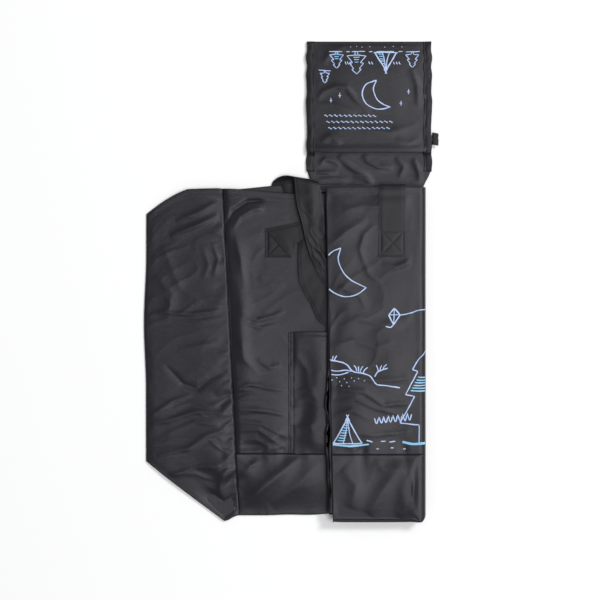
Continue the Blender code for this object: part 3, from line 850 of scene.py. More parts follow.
gusset_ss = np.concatenate([np.linspace(0, 0.96, 25)[:-1], np.linspace(0.96, 1.04, 9)[:-1],
                            np.linspace(1.04, 1.998, 66), [2]])
gusset_vs = np.concatenate([np.linspace(0, 0.04, 12)[:-1], np.linspace(0.04, 1, 240)])
gusset_grid = gusset_points(*np.meshgrid(gusset_ss, gusset_vs))
left_gusset, gusset_laid = cloth("left_gusset", gusset_ss * GUSSET, gusset_vs * GUSSET_LENGTH, gusset_grid,
                                 black_taffeta)
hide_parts("left_gusset_front_half", "left_gusset_back_half")


def at_wing(piece):
    """Bakes the gusset's world place into its mesh."""
    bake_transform(piece)


at_wing(left_gusset)
rim = np.linspace(0.05, 1.97, 60)
_, _, rim_top, rim_foot = gusset_edges(rim)
rim_row = np.stack([rim * GUSSET, (HEM - HEM_INSET) / (rim_top - rim_foot) * GUSSET_LENGTH], axis=1)
rim_rows = [rim_row[rim < 0.94], rim_row[rim > 1.06]]
at_wing(stitches("gusset_hem_stitches", gusset_laid, rim_rows, black_thread))

# ---------------------------------------------------------------------------------------------------------
# Right gusset: the same cut, tucked in between the turned side's two panels. Lower down, where it isn't
# smoothed flat, its cloth bulges out of the side's open edge as a crumpled lip.
# ---------------------------------------------------------------------------------------------------------
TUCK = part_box("right_gusset_front_half")[1][0] - SEAM_X - TURNED_EDGE
RIGHT_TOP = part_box("right_gusset_front_half")[1][1] - MOUTH_Y
RIGHT_FOOT = -(PANEL_HEIGHT + TURNED_BOTTOM_HALF) + 8 * MM
LIP_SHARE = 0.16  # of each half of the cloth, beside its seam, that the lip takes up


def right_gusset_points(s, v):
    """s is 0 at the front panel's edge, 1 at the crease deep inside, 2 at the back panel's edge."""
    inward = 1 - np.abs(1 - s)
    upper = 1 - ease(s, 0.95, 1.05)
    y = RIGHT_TOP + (RIGHT_FOOT - RIGHT_TOP) * v
    lip = MM * ease(-y, 140 * MM, 235 * MM) * (6.9 + 2.2 * noise(y, s * 0.2, 15 * MM, 51)) - 2.5 * MM
    bulge = np.sin(pi * np.clip(inward / LIP_SHARE, 0, 1))
    x = TURNED_EDGE + TUCK * np.clip((inward - 0.4 * LIP_SHARE) / (1 - 0.4 * LIP_SHARE), 0, 1) - lip * bulge
    x = x + lean(y, EDGE_LEAN) * (1 - inward)
    top_z, low_z = SIDE_FRONT_Z - 1.5 * MM, SIDE_BACK_Z + 0.6 * MM
    z = low_z + (top_z - low_z) * upper
    sag = (0.9 * MM + 1.6 * MM * noise(x, y, 12 * MM, 52)) * bulge * ease(-y, 165 * MM, 235 * MM)
    z = z - (1.2 * MM * bulge + np.abs(sag)) * upper
    return in_bag(x, y, z)


right_ss = steps(0, 0.02, 0.24, 0.08, 1.76, 0.02, 2)
right_vs = np.linspace(0, 1, 130)
right_points = right_gusset_points(*np.meshgrid(right_ss, right_vs))
right_gusset, _ = cloth("right_gusset", right_ss * TUCK, right_vs * (RIGHT_TOP - RIGHT_FOOT), right_points,
                        black_taffeta)
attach(right_gusset, "turned_side")
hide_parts("right_gusset_front_half", "right_gusset_back_half")

# ---------------------------------------------------------------------------------------------------------
# Trolley sleeve: a hemmed band of the same taffeta across the lower back, sewn down along both sides with two
# rows that pucker it, and open above and below so that it slides over a trolley's handle.
# ---------------------------------------------------------------------------------------------------------
SLEEVE_HEIGHT = SLEEVE_TOP + PANEL_HEIGHT
SLEEVE_RIGHT = 2 * FOLD_X - (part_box("trolley_sleeve_side")[0][0] - SEAM_X)
SLEEVE_ROWS = (1.6 * MM, 4.6 * MM)  # from the sleeve's side to its two rows of stitches


def sleeve_points(u, v):
    """u runs from the left seam like the panels' u; v from the sleeve's open top down."""
    y = SLEEVE_TOP - v
    under = on_cloth(back_laid, np.minimum(u, HIDDEN), -y, 0)[0][..., 2]
    base = np.where(u < HIDDEN, under, BACK_Z) + 1.0 * MM
    sewn = np.exp(-(u - SLEEVE_LEFT) / (5 * MM))
    gape = 2.4 * MM * np.exp(-v / (9 * MM)) * ease(u, SLEEVE_LEFT, SLEEVE_LEFT + 18 * MM)
    gape = gape * (1 - ease(u, HIDDEN, 190 * MM))
    seeds = 0.5 * MM * noise(u, y, 30 * MM, 61)
    folds = 0.35 * MM * creases(u, y, 9 * MM, 34 * MM, 12, 64) + folds_of(u, y, [
        ([(66, -212), (82, -208), (99, -212)], 3.5, 1.0),
        ([(66, -225), (84, -214), (98, -218)], 6, 1.2),
        ([(68, -172), (80, -190), (82, -210)], 6, 0.8),
        ([(66, -250), (82, -246), (99, -252)], 6, 0.8),
    ])
    shown = ease(u, SLEEVE_LEFT, SLEEVE_LEFT + 8 * MM) * (1 - ease(u, 115 * MM, HIDDEN))
    low = base + gape + seeds * shown - 0.4 * MM * sewn + 0.3 * side_swell(u, y)
    x, z = turned(u, np.minimum(low, 9.3 * MM), level("trolley_sleeve_side"), 2.0 * MM)
    points = in_bag(x, y, z)
    held = np.maximum(1 - ease(u, SLEEVE_LEFT + 4 * MM, SLEEVE_LEFT + 8 * MM), ease(u, 115 * MM, HIDDEN))
    held = np.maximum(held, 0.6 * (1 - ease(v, 4 * MM, 8 * MM)))
    held[-1] = np.maximum(held[-1], 0.9)
    spare_y = 0.014 + 0.035 * sewn
    floor, ceiling = np.where(u < HIDDEN, under + 0.55 * MM, 0), np.where(u < HIDDEN, 9.4 * MM, 1)
    points = settle(points, held, 0.012 * shown, spare_y * shown, floor, ceiling, folds * shown)
    fade = 1 - ease(u, FOLD_X - 2 * CAP, FOLD_X - CAP)
    points[..., 2] += hem_step(v, 7 * MM) * fade
    pinch = sum(bump(u, SLEEVE_LEFT + inset, 0.9 * MM) for inset in SLEEVE_ROWS)
    points[..., 2] += (0.5 * noise(y, u, 4 * MM, 63) - 0.4) * MM * pinch * fade
    return points


sleeve_us = steps(SLEEVE_LEFT, 0.9 * MM, SLEEVE_LEFT + 7 * MM, 1.7 * MM, 108 * MM, COARSE, FOLD_X - CAP,
                  1.6 * MM, FOLD_X + CAP, COARSE, SLEEVE_RIGHT)
sleeve_vs = steps(0, 1.0 * MM, 10 * MM, FINE, SLEEVE_HEIGHT)
sleeve_grid = sleeve_points(*np.meshgrid(sleeve_us, sleeve_vs))
sleeve, sleeve_laid = cloth("trolley_sleeve", sleeve_us, sleeve_vs, sleeve_grid, black_taffeta)
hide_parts("trolley_sleeve", "trolley_sleeve_side")
over_fold(sleeve)
sleeve_rows = [[(SLEEVE_LEFT + inset, 2 * MM), (SLEEVE_LEFT + inset, SLEEVE_HEIGHT - MM)]
               for inset in SLEEVE_ROWS]
sleeve_rows.append([(SLEEVE_LEFT + 5 * MM, 5.8 * MM), (FOLD_X - 2 * CAP, 5.8 * MM)])
sleeve_stitches = stitches("sleeve_stitches", sleeve_laid, sleeve_rows, black_thread)
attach(sleeve_stitches, "bag")

# ---------------------------------------------------------------------------------------------------------
# Back handle: a strap of the taffeta folded to four layers, 27 mm wide, with a row of stitches along each
# edge. From its sewn box on the back it is folded across itself, then falls down and slips under the turned
# side, where it turns back up to its other box.
# ---------------------------------------------------------------------------------------------------------
STRAP_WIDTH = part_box("back_handle_left_end")[1][0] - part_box("back_handle_left_end")[0][0]
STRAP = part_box("back_handle_left_end")[1][2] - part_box("back_handle_left_end")[0][2]
BOX_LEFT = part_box("back_handle_left_end")[0][0] - SEAM_X
BOX_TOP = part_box("back_handle_left_end")[1][1] - MOUTH_Y
BOX_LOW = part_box("back_handle_left_end")[0][1] - MOUTH_Y
BOX_SIZE = BOX_TOP - BOX_LOW
BACK_END_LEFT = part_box("back_handle_right_end")[0][0] - SEAM_X
LOOP_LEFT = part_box("back_handle_tucked")[0][0] - SEAM_X
TURN_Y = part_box("back_handle_loop")[1][1] - MOUTH_Y
HANDLE_ROW = 1.9 * MM  # stitches to the strap's edge
# Two copies of one strap nylon. The straps get a darker, duller copy as painted shade for handles that stand
# in shadow. The sewn end on the turned side gets a lighter, shinier copy as painted light.
strap_nylon = nylon("strap_nylon", (0.0046, 0.0047, 0.0058), (0.0088, 0.0089, 0.0106), 0.42, size=9 * MM,
                    specular=0.24)
strap_painted_light = nylon("strap_painted_light", (0.0062, 0.0060, 0.0078), (0.0112, 0.0109, 0.0133), 0.41, size=9 * MM,
                   specular=0.29)


def over_back(x, y, lift):
    """A height above whatever lies lowest there: the back panel, or the sleeve on it."""
    z = on_cloth(back_laid, x, -y, lift)[0][..., 2]
    on_sleeve = (y < SLEEVE_TOP + 2 * MM) & (x > SLEEVE_LEFT)
    return np.where(on_sleeve, np.maximum(z, on_cloth(sleeve_laid, x, SLEEVE_TOP - y, lift)[0][..., 2]), z)


def through(stations, count):
    """A smooth path of count points through stations, and the length along it."""
    stations = np.array(stations, float)
    padded = np.concatenate([[2 * stations[0] - stations[1]], stations, [2 * stations[-1] - stations[-2]]])
    t = np.linspace(0, len(stations) - 1, 24 * len(stations))
    i = np.minimum(t.astype(int), len(stations) - 2)
    f = (t - i)[:, None]
    a, b, c, d = (padded[i + k] for k in range(4))
    path = 0.5 * (2 * b + (c - a) * f + (2 * a - 5 * b + 4 * c - d) * f**2 + (3 * b - a - 3 * c + d) * f**3)
    middle = path.reshape(len(path), 2, 3).mean(axis=1)
    at = np.concatenate([[0], np.cumsum(np.linalg.norm(np.diff(middle, axis=0), axis=1))])
    even = np.linspace(0, at[-1], count)
    return np.stack([np.interp(even, at, path[:, k]) for k in range(6)], axis=1), even


def box_rows(start):
    """A sewn box on a strap from v = start: a square of stitches with its two diagonals."""
    a, b = 2.2 * MM, STRAP_WIDTH - 2.2 * MM
    c, d = start + 2 * MM, start + BOX_SIZE - 2 * MM
    return [[(a, c), (b, c), (b, d), (a, d), (a, c)], [(a, c), (b, d)], [(b, c), (a, d)]]


def sewn_box(u, v, start):
    """How near a place is to the box's stitches, from 0 to 1, where they pull the strap down."""
    nearest_row = np.full(u.shape, 1.0)
    for row in box_rows(start):
        for (a, b), (c, d) in zip(row, row[1:]):
            t = np.clip(((u - a) * (c - a) + (v - b) * (d - b)) / ((c - a) ** 2 + (d - b) ** 2), 0, 1)
            nearest_row = np.minimum(nearest_row, np.hypot(u - a - t * (c - a), v - b - t * (d - b)))
    return bump(nearest_row, 0, 1.1 * MM)


def strap(names, stations, seed, cuts=(), lift=None, limit=None, slump=0.5, box=None, crumple=None):
    """A strap through stations (x, y, z of one edge, x, y, z of the other) in millimetres from the left seam,
    the mouth and the table, cut into named pieces at stations. With lift it lies at least that far above the
    back panel, and with limit below a height. With box a box is sewn at its start or end, and a crumple
    (y, half length, height) folds it lengthwise."""
    stations = np.array(stations, float) * MM
    length = through(stations, 40)[1][-1]
    rows, vs = through(stations, max(8, round(length / (1.1 * MM))))
    us = np.linspace(0, STRAP_WIDTH, 28)
    share = (us / STRAP_WIDTH)[None, :, None]
    grid = rows[:, None, :3] * (1 - share) + rows[:, None, 3:] * share
    x, y, z = np.moveaxis(grid, -1, 0)
    along, across = np.meshgrid(vs, us, indexing="ij")
    uneven = 0.5 * noise(along, across, 15 * MM, seed) + 0.3 * noise(along, across, 7 * MM, seed + 1)
    z = z + slump * MM * uneven
    if crumple is not None:
        middle, reach, height = crumple
        z = z + 2.2 * MM * bump(y, -34 * MM, 38 * MM) * bump(across, 0.62 * STRAP_WIDTH, 0.3 * STRAP_WIDTH)
        wave = creases(across, along, 6 * MM, 26 * MM, 70, seed + 2)
        z = z + height * MM * bump(y, middle * MM, reach * MM) * wave * ease(across, 0, 5 * MM)
    if lift is not None:
        under = over_back(x, y, 0)
        padded = np.pad(under, ((5, 5), (0, 0)), mode="edge")
        under = np.maximum(under, sum(padded[k:k + len(under)] for k in range(11)) / 11)
        z = np.where(z > 7 * MM, np.maximum(z, under + lift * MM), z)
    if limit is not None:
        z = np.minimum(z, limit * MM + 5 * MM * ease(TURNED_EDGE - x, 1 * MM, 10 * MM))
    z = z - 0.25 * MM * (bump(across, 0, 1.5 * MM) + bump(across, STRAP_WIDTH, 1.5 * MM))
    for edge in (HANDLE_ROW, STRAP_WIDTH - HANDLE_ROW):
        z = z - 0.15 * MM * bump(across, edge, 0.8 * MM)
    if box is not None:
        z = z - 0.3 * MM * sewn_box(across, along, vs[-1] - BOX_SIZE if box == "end" else 0)
    middles = rows.reshape(len(rows), 2, 3).mean(axis=1)
    ends = [0]
    for cut in cuts:
        gaps = np.linalg.norm(middles - stations[cut].reshape(2, 3).mean(axis=0), axis=1)
        ends.append(int(np.argmin(gaps)))
    ends.append(len(rows) - 1)
    pieces = []
    for name, first, last in zip(names, ends, ends[1:]):
        part = slice(first, last + 1)
        points = in_bag(x[part], y[part], z[part])
        # Painted shade: the strap pieces take the darker, duller copy of the strap nylon.
        obj, laid = cloth(name, us, vs[part] - vs[first], points, strap_nylon, thickness=STRAP * 0.85)
        bpy.ops.object.shade_smooth_by_angle(angle=radians(50))
        pieces.append((obj, laid))
    return pieces


def edge_rows(laid):
    end = laid[1][-1]
    return [[(u, 0.5 * MM), (u, end - 0.5 * MM)] for u in (HANDLE_ROW, STRAP_WIDTH - HANDLE_ROW)]


def sew(name, laid, rows, side=1):
    return stitches(name, laid, rows, black_thread, lift=STRAP * 0.42, side=side, pitch=2.4 * MM)


def mm(*values):
    return tuple(value / MM for value in values)


def with_edges(name, piece, laid):
    """A piece of a strap, and the stitches along its two edges."""
    return piece, sew(f"{name}_edge_stitches", laid, edge_rows(laid))


left, right, top, low = mm(BOX_LEFT, BOX_LEFT + STRAP_WIDTH, BOX_TOP, BOX_LOW)
box_path = [(left, y, 8, right, y, 8) for y in (low, top)]
[(box_end, box_laid)] = strap(["back_handle_left_end"], box_path, 71, lift=0.75, slump=0.2, box="start")
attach(box_end, "bag")
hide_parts("back_handle_left_end")
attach(sew("back_box_stitches", box_laid, box_rows(0)), "bag")

back_path = [
    (left, top + 1, 9.4, right, low - 1, 9.4), (left + 16, -40, 9.8, right + 1, -68, 9.6),
    (left + 36, -36, 9.8, right + 3, -62.5, 9.4), (97, TURN_Y / MM, 9.4, LOOP_LEFT / MM + 1.5, -57, 9.0),
    (98, -46, 8.4, 71, -64, 9.4), (98, -64, 8.2, 71, -80, 9.6), (98, -80, 8.2, 72, -96, 9.6),
    (101, -94, 8.4, 77.5, -109, 9.6), (106, -105, 8.8, 84.5, -122, 9.6), (112, -116, 9.6, 92, -138, 9.6),
    (122, -124, 9.4, 106, -146, 9.8), (133, -122, 9.4, 134, -149, 9.6), (138, -110, 9.4, 156, -138, 9.4),
    (138, -96, 9.4, 164, -116, 9.4), (138, -74, 9.6, 165, -80, 9.6), (138, -45, 11.9, 165, -45, 11.9),
]
back_names = ["back_handle_fold", "back_handle_band", "back_handle_tucked"]
back_pieces = strap(back_names, back_path, 73, cuts=(3, 7), lift=1.1, limit=12.3, slump=0.5)
(folded, folded_laid), (band, band_laid), (back_tuck, back_tuck_laid) = back_pieces
for piece in with_edges("back_fold", folded, folded_laid):
    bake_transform(piece)
for piece in with_edges("back_band", band, band_laid):
    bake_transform(piece)
for piece in with_edges("back_tuck", back_tuck, back_tuck_laid):
    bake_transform(piece)
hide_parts("back_handle_loop")
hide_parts("back_handle_tucked")

hidden_left, hidden_right = mm(BACK_END_LEFT, BACK_END_LEFT + STRAP_WIDTH)
hidden_z = SIDE_BACK_Z / MM - 0.8
hidden_path = [(hidden_left, y, hidden_z, hidden_right, y, hidden_z) for y in (low, top)]
[(hidden_end, hidden_laid)] = strap(["back_handle_right_end"], hidden_path, 79, slump=0.1, box="start")
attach(hidden_end, "turned_side")
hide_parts("back_handle_right_end")
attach(sew("hidden_box_stitches", hidden_laid, box_rows(0), side=-1), "turned_side")

# ---------------------------------------------------------------------------------------------------------
# Front handle: the same strap. From its sewn box against the table it comes up round the mouth, falls over
# the back handle and slips under the turned side. Its other end comes over that side's mouth to its sewn box.
# ---------------------------------------------------------------------------------------------------------
FRONT_BOX_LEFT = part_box("front_handle_left_end")[0][0] - SEAM_X
UNDER_LEFT = FRONT_BOX_LEFT + 7 * MM
FRONT_END_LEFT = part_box("front_handle_right_end")[0][0] - SEAM_X
TABLE_STRAP_Z = 0.55  # height of the strap against the table, in millimetres
under_left, under_right = mm(UNDER_LEFT, UNDER_LEFT + STRAP_WIDTH)
front_path = [(under_left, y, TABLE_STRAP_Z, under_right, y, TABLE_STRAP_Z) for y in (low, top)] + [
    (46, -14, TABLE_STRAP_Z, 73, -14, TABLE_STRAP_Z), (43.5, -3, 0.6, 70.5, -4, 0.6),
    (43.5, 4.5, 1.4, 70.3, 2.5, 0.8), (48, 9.5, 3.6, 75, 6.5, 1.8), (55, 12, 6.5, 81.5, 8.5, 3.4),
    (61, 12, 9.4, 87.5, 7.5, 6.4), (66, 9.5, 12.4, 92.3, 4, 10.2), (67.5, 0, 14, 94.2, -3, 11.4),
    (68.5, -11, 15.4, 95, -11, 11.8), (71, -24, 16.4, 97, -23, 12), (74.5, -36, 16.6, 98, -35, 12),
    (78.5, -54, 16, 98.5, -49, 12), (83, -70, 14.4, 99.5, -63, 11.8), (89, -84, 12, 104, -75, 11.2),
    (96, -98, 10.6, 112, -84, 10.6), (112, -117, 10.8, 124, -94, 10.8), (136, -121, 10.9, 138, -95, 10.9),
    (160, -112, 10.9, 151, -90, 10.9), (177, -94, 10.9, 154, -84, 10.9), (181, -66, 10.9, 154, -66, 10.9),
    (181, -30, 11.2, 154, -30, 11.2), (181, -1, 12.3, 154, -1, 12.3),
]
front_names = ["front_handle_turn", "front_handle_loop", "front_handle_tucked"]
front_pieces = strap(front_names, front_path, 83, cuts=(9, 16), lift=2.1, limit=12.6, slump=0.8, box="start",
                     crumple=(-60, 34, 1.3))
(turn, turn_laid), (over, over_laid), (slip, slip_laid) = front_pieces
for piece in with_edges("front_turn", turn, turn_laid):
    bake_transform(piece)
for piece in with_edges("front_loop", over, over_laid):
    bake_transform(piece)
for piece in with_edges("front_slip", slip, slip_laid):
    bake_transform(piece)
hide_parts("front_handle_left_end")
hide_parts("front_handle_loop")
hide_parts("front_handle_tucked")
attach(sew("table_box_stitches", turn_laid, box_rows(0), side=-1), "bag")

end_left, end_right = mm(FRONT_END_LEFT, FRONT_END_LEFT + STRAP_WIDTH)
over_mouth = ((-2, 12.6), (0.6, 12.7), (2.2, 13.6), (2.7, 15.2), (1.9, 17.0), (-0.6, 17.9))
end_path = [(end_left, y, z, end_right, y, z) for y, z in over_mouth]
for y in (-4, -9, -16, -26, -36, -46, -56, -66, low):
    heights = [on_cloth(front_laid, np.array(2 * FOLD_X - x * MM), np.array(-y * MM), 0.85 * MM)[0][2] / MM
               for x in (end_left, end_right)]
    end_path.append((end_left, y, max(heights), end_right, y, max(heights)))
[(front_end, front_end_laid)] = strap(["front_handle_right_end"], end_path, 87, slump=0.15, box="end")
# Painted light: the sewn end on the turned side gets the lighter, shinier copy of the strap nylon.
front_end.data.materials[0] = strap_painted_light
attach(front_end, "turned_side")
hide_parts("front_handle_right_end")
front_end_length = front_end_laid[1][-1]
front_end_rows = [[(u, 0.5 * MM), (u, front_end_length - BOX_SIZE)]
                  for u in (HANDLE_ROW, STRAP_WIDTH - HANDLE_ROW)]
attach(sew("front_end_stitches", front_end_laid, front_end_rows + box_rows(front_end_length - BOX_SIZE)),
        "turned_side")

# ---------------------------------------------------------------------------------------------------------
# Stow pouch: two layers of the taffeta, bound together along both sides with a ribbed tape. The back layer is
# gathered into the bag's mouth and shows below the front layer's hemmed opening. The whole bag packs into it.
# ---------------------------------------------------------------------------------------------------------
POUCH_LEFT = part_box("pouch_binding_left")[0][0] - SEAM_X
POUCH_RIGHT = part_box("pouch_binding_right")[1][0] - SEAM_X
BINDING_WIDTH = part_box("pouch_binding_left")[1][0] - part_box("pouch_binding_left")[0][0]
POUCH_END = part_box("pouch_back")[1][1] - MOUTH_Y
POUCH_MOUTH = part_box("pouch_front")[0][1] - MOUTH_Y
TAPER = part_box("pouch_binding_left")[0][1] - MOUTH_Y
GATHER = 7 * MM  # about how far each side is drawn in at the bag's mouth
POUCH_Z = level("pouch_back")
ROOT = 5 * MM  # cloth that is caught inside the bag's mouth
binding_tape = nylon("binding_tape", (0.0075, 0.0066, 0.0085), (0.013, 0.012, 0.015), 0.5, pitch=0.8 * MM,
                     size=5 * MM, specular=0.26)


def pouch_x(share, y):
    """Across the pouch at height y, from its left edge (0) to its right (1)."""
    drawn = GATHER * (1 - ease(y, -2 * MM, TAPER + 2 * MM))
    left, right = POUCH_LEFT + 1.2 * MM + 0.8 * drawn, POUCH_RIGHT - 1.2 * MM - 1.1 * drawn
    return left + (right - left) * share


def pouch_back_points(share, y):
    x = pouch_x(share, y)
    z = POUCH_Z + 1.7 * MM * (1 - ease(y, -4 * MM, 4 * MM))
    seeds = 0.3 * MM * noise(x, y, 20 * MM, 91)
    folds = 0.35 * MM * creases(x, y, 9 * MM, 24 * MM, -20, 93) + folds_of(x, y, [
        ([(92, 24), (99, 30), (108, 28), (115, 22)], 3.5, 1.4),
        ([(112, 33), (118, 27), (128, 20), (140, 14), (148, 6)], 5, 2.0),
        ([(90, 16), (100, 16), (112, 15)], 3, 1.2),
        ([(92, 9), (106, 10), (124, 9)], 3, 1.0),
        ([(138, 34), (144, 27), (154, 22), (170, 21)], 4.5, 1.5),
        ([(128, 12), (140, 9), (150, 3)], 3, 1.2),
        ([(172, 31), (181, 22), (176, 10)], 4, 1.2),
        ([(190, 30), (196, 18), (198, 6)], 4, 1.6),
    ])
    shown = ease(y, 0, 6 * MM) * (1 - ease(y, 36 * MM, 46 * MM))
    sides = ease(share, 0.01, 0.07) * (1 - ease(share, 0.93, 0.99))
    points = in_bag(x, y, z + np.abs(seeds) * shown * sides)
    held = np.maximum(1 - shown, 1 - sides)
    ceiling = np.where(y < 46 * MM, 6 * MM, 2.9 * MM)
    return settle(points, held, 0.005 * shown, 0.006 * shown, 0.5 * MM, ceiling, folds)


pouch_us = np.linspace(0, 1, 77)
pouch_back_vs = steps(-ROOT, 1.5 * MM, 46 * MM, COARSE, POUCH_END)
POUCH_WIDTH = POUCH_RIGHT - POUCH_LEFT
back_grid = pouch_back_points(*np.meshgrid(pouch_us, pouch_back_vs))
pouch_back, pouch_back_laid = cloth("pouch_back", pouch_us * POUCH_WIDTH, pouch_back_vs, back_grid,
                                    black_taffeta)
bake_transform(pouch_back)
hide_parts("pouch_back")


def pouch_front_points(share, v):
    """v runs from the opening to the closed end, and then down over it."""
    y = POUCH_MOUTH + v
    over_end = ease(y, POUCH_END - 1.5 * MM, POUCH_END + 1.5 * MM)
    x = pouch_x(share, y)
    full = np.sin(pi * np.clip(share, 0.004, 0.996)) ** 0.35
    z = 2.0 * MM + 2.6 * MM * full * (1 - ease(y, POUCH_END - 22 * MM, POUCH_END))
    z = z + 1.5 * MM * full * (1 - ease(v, 0, 16 * MM))
    seeds = 0.3 * MM * noise(x, y, 34 * MM, 95)
    folds = 0.35 * MM * creases(x, y, 16 * MM, 40 * MM, -30, 96) + folds_of(x, y, [
        ([(89, 90), (97, 100), (110, 105), (121, 104), (131, 91), (146, 80)], 4, 1.3),
        ([(90, 88), (108, 86), (124, 81), (132, 78)], 4, 0.8),
        ([(188, 124), (195, 106), (196, 82)], 5, 1.3),
        ([(94, 48), (104, 54), (116, 46)], 5, 1.2),
        ([(140, 62), (166, 58), (196, 66)], 6, 0.8),
        ([(172, 50), (186, 47), (198, 52)], 4, 0.8),
        ([(96, 128), (104, 140), (120, 146)], 5, 0.7),
    ])
    sides = ease(share, 0.03, 0.1) * (1 - ease(share, 0.9, 0.97))
    z = (z + seeds * sides) * (1 - over_end) + 1.2 * MM * over_end
    points = in_bag(x, np.minimum(y, POUCH_END - 0.3 * MM), z)
    held = np.maximum(1 - sides, ease(y, POUCH_END - 6 * MM, POUCH_END - 2 * MM))
    held = np.maximum(held, hem_hold(v, 0.7))
    points = settle(points, held, 0.006 * sides, 0.006 * sides, 1.6 * MM * (1 - over_end), 6.6 * MM, folds)
    points[..., 2] += hem_step(v)
    return points


pouch_front_vs = steps(0, 1.0 * MM, 10 * MM, 1.8 * MM, POUCH_END - POUCH_MOUTH - 4 * MM, 0.7 * MM,
                       POUCH_END - POUCH_MOUTH + 2 * MM)
front_grid = pouch_front_points(*np.meshgrid(pouch_us, pouch_front_vs))
pouch_front, pouch_front_laid = cloth("pouch_front", pouch_us * POUCH_WIDTH, pouch_front_vs, front_grid,
                                      black_taffeta)
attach(pouch_front, "stow_pouch")
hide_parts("pouch_front")
pouch_hem_row = [(BINDING_WIDTH - MM, HEM - HEM_INSET), (POUCH_WIDTH - BINDING_WIDTH + MM, HEM - HEM_INSET)]
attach(stitches("pouch_hem_stitches", pouch_front_laid, [pouch_hem_row], black_thread), "stow_pouch")


def binding_points(w, y, outward, edge_x):
    """w runs across the tape: in below, round the pouch's edge and in again on top."""
    inward = np.abs(w) - 1.2 * MM
    wobble = 0.7 * MM * noise(y, 0 * y, 9 * MM, 97) - 0.4 * MM
    x = edge_x - outward * np.maximum(inward, -0.2 * MM) + outward * wobble
    share = np.clip((x - POUCH_LEFT) / POUCH_WIDTH, 0, 1) * POUCH_WIDTH
    on_front = on_cloth(pouch_front_laid, share, y - POUCH_MOUTH, 0)[0][..., 2]
    on_back = on_cloth(pouch_back_laid, share, y, 0)[0][..., 2]
    step = ease(y, POUCH_MOUTH - 3 * MM, POUCH_MOUTH)
    top = on_back * (1 - step) + on_front * step + 0.55 * MM
    pinch = 0.5 * MM * bump(np.abs(w), BINDING_WIDTH - 0.4 * MM, 1.2 * MM)
    top = top + 0.55 * MM * noise(y, x, 5 * MM, 98) - pinch
    over = ease(w, -1.2 * MM, 1.2 * MM)
    return in_bag(x, y, np.maximum(0.35 * MM * (1 - over) + top * over, 0.3 * MM))


reach = BINDING_WIDTH + 1.2 * MM
ws = np.concatenate([-np.linspace(reach, 1.2 * MM, 6), np.linspace(-MM, MM, 5),
                     np.linspace(1.2 * MM, reach, 9)])
tape_vs = steps(TAPER, 1.8 * MM, POUCH_END)
for label, outward, edge_x in (("left", -1, POUCH_LEFT), ("right", 1, POUCH_RIGHT)):
    tape_points = binding_points(*np.meshgrid(ws, tape_vs), outward, edge_x)
    tape, tape_laid = cloth(f"pouch_binding_{label}", ws, tape_vs, tape_points, binding_tape)
    tape_row = [(BINDING_WIDTH - 0.6 * MM, TAPER + MM), (BINDING_WIDTH - 0.6 * MM, POUCH_END - MM)]
    tape_stitches = stitches(f"binding_stitches_{label}", tape_laid, [tape_row], black_thread, pitch=2.6 * MM)
    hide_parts(f"pouch_binding_{label}")
    for piece in (tape, tape_stitches):
        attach(piece, "stow_pouch")

# ---------------------------------------------------------------------------------------------------------
# Pull tab: a short length of the same tape, folded into a loop, with both ends caught in the right binding.
# ---------------------------------------------------------------------------------------------------------
(tab_x, tab_low, tab_z), (tab_tip, tab_high, tab_top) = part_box("pouch_tab")


def tab_points(t, v):
    """t runs along the tape, out below and back on top; v across it."""
    angle = pi * (t - 0.5)
    out = (tab_tip - tab_x - 0.3 * MM) * np.cos(angle) ** 0.7
    swing = ((tab_top - tab_z) / 2 - 0.3 * MM) * np.sin(angle)
    height = (tab_z + tab_top) / 2 + swing * (0.6 + 0.4 * np.cos(angle))
    lean_over = 1.2 * MM * (out / (tab_tip - tab_x)) ** 2
    fray = 0.3 * MM * noise(v, t * 4 * MM, 3 * MM, 99)
    return np.stack([tab_x + out + fray * np.cos(angle), v - lean_over, height], axis=-1)


tab_ts = np.linspace(0, 1, 21)
tab_vs = np.linspace(tab_low + MM, tab_high, 12)
tab_grid = tab_points(*np.meshgrid(tab_ts, tab_vs))
tab, _ = cloth("pouch_tab", tab_ts * 2 * (tab_tip - tab_x), tab_vs, tab_grid, binding_tape,
               thickness=0.5 * MM)
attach(tab, "tab")
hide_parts("pouch_tab")

# ---------------------------------------------------------------------------------------------------------
# Print: a night camp drawn in one pale blue line, screened onto the front panel and, upside down, onto the
# pouch. It is plain and made for this bag: a moon, a hill with grass, a kite, a tent and a pine, and rows of
# ripples on the pouch. The ink lies on the cloth and follows its folds.
# ---------------------------------------------------------------------------------------------------------
INK = 0.13 * MM  # from the cloth's surface to the top of the ink


def make_ink(name, colour, other):
    """Screen ink: a matt blue that wanders a little, and thins where the weave shows through."""
    material = plain_material(name, colour, 0.6, specular=0.3)
    tree = material.node_tree
    place = node(tree, "ShaderNodeTexCoord").outputs["Object"]
    broad = node(tree, "ShaderNodeTexNoise", {"Vector": place, "Scale": 28.0, "Detail": 2.0}).outputs["Fac"]
    grain = node(tree, "ShaderNodeTexNoise", {"Vector": place, "Scale": 900.0, "Detail": 1.0}).outputs["Fac"]
    wander = maths(tree, "MULTIPLY", maths(tree, "SUBTRACT", broad, 0.36), 3.2)
    wandering = mixed(tree, wander, (*colour, 1), (*other, 1))
    thin = maths(tree, "MULTIPLY", maths(tree, "SUBTRACT", grain, 0.52), 1.6)
    worn = mixed(tree, thin, wandering, (0.10, 0.12, 0.17, 1))
    tree.links.new(worn, tree.nodes["Principled BSDF"].inputs["Base Color"])
    return material


line_ink = make_ink("line_ink", (0.42, 0.56, 0.86), (0.50, 0.62, 0.90))
fill_ink = make_ink("fill_ink", (0.22, 0.50, 0.78), (0.36, 0.64, 0.86))


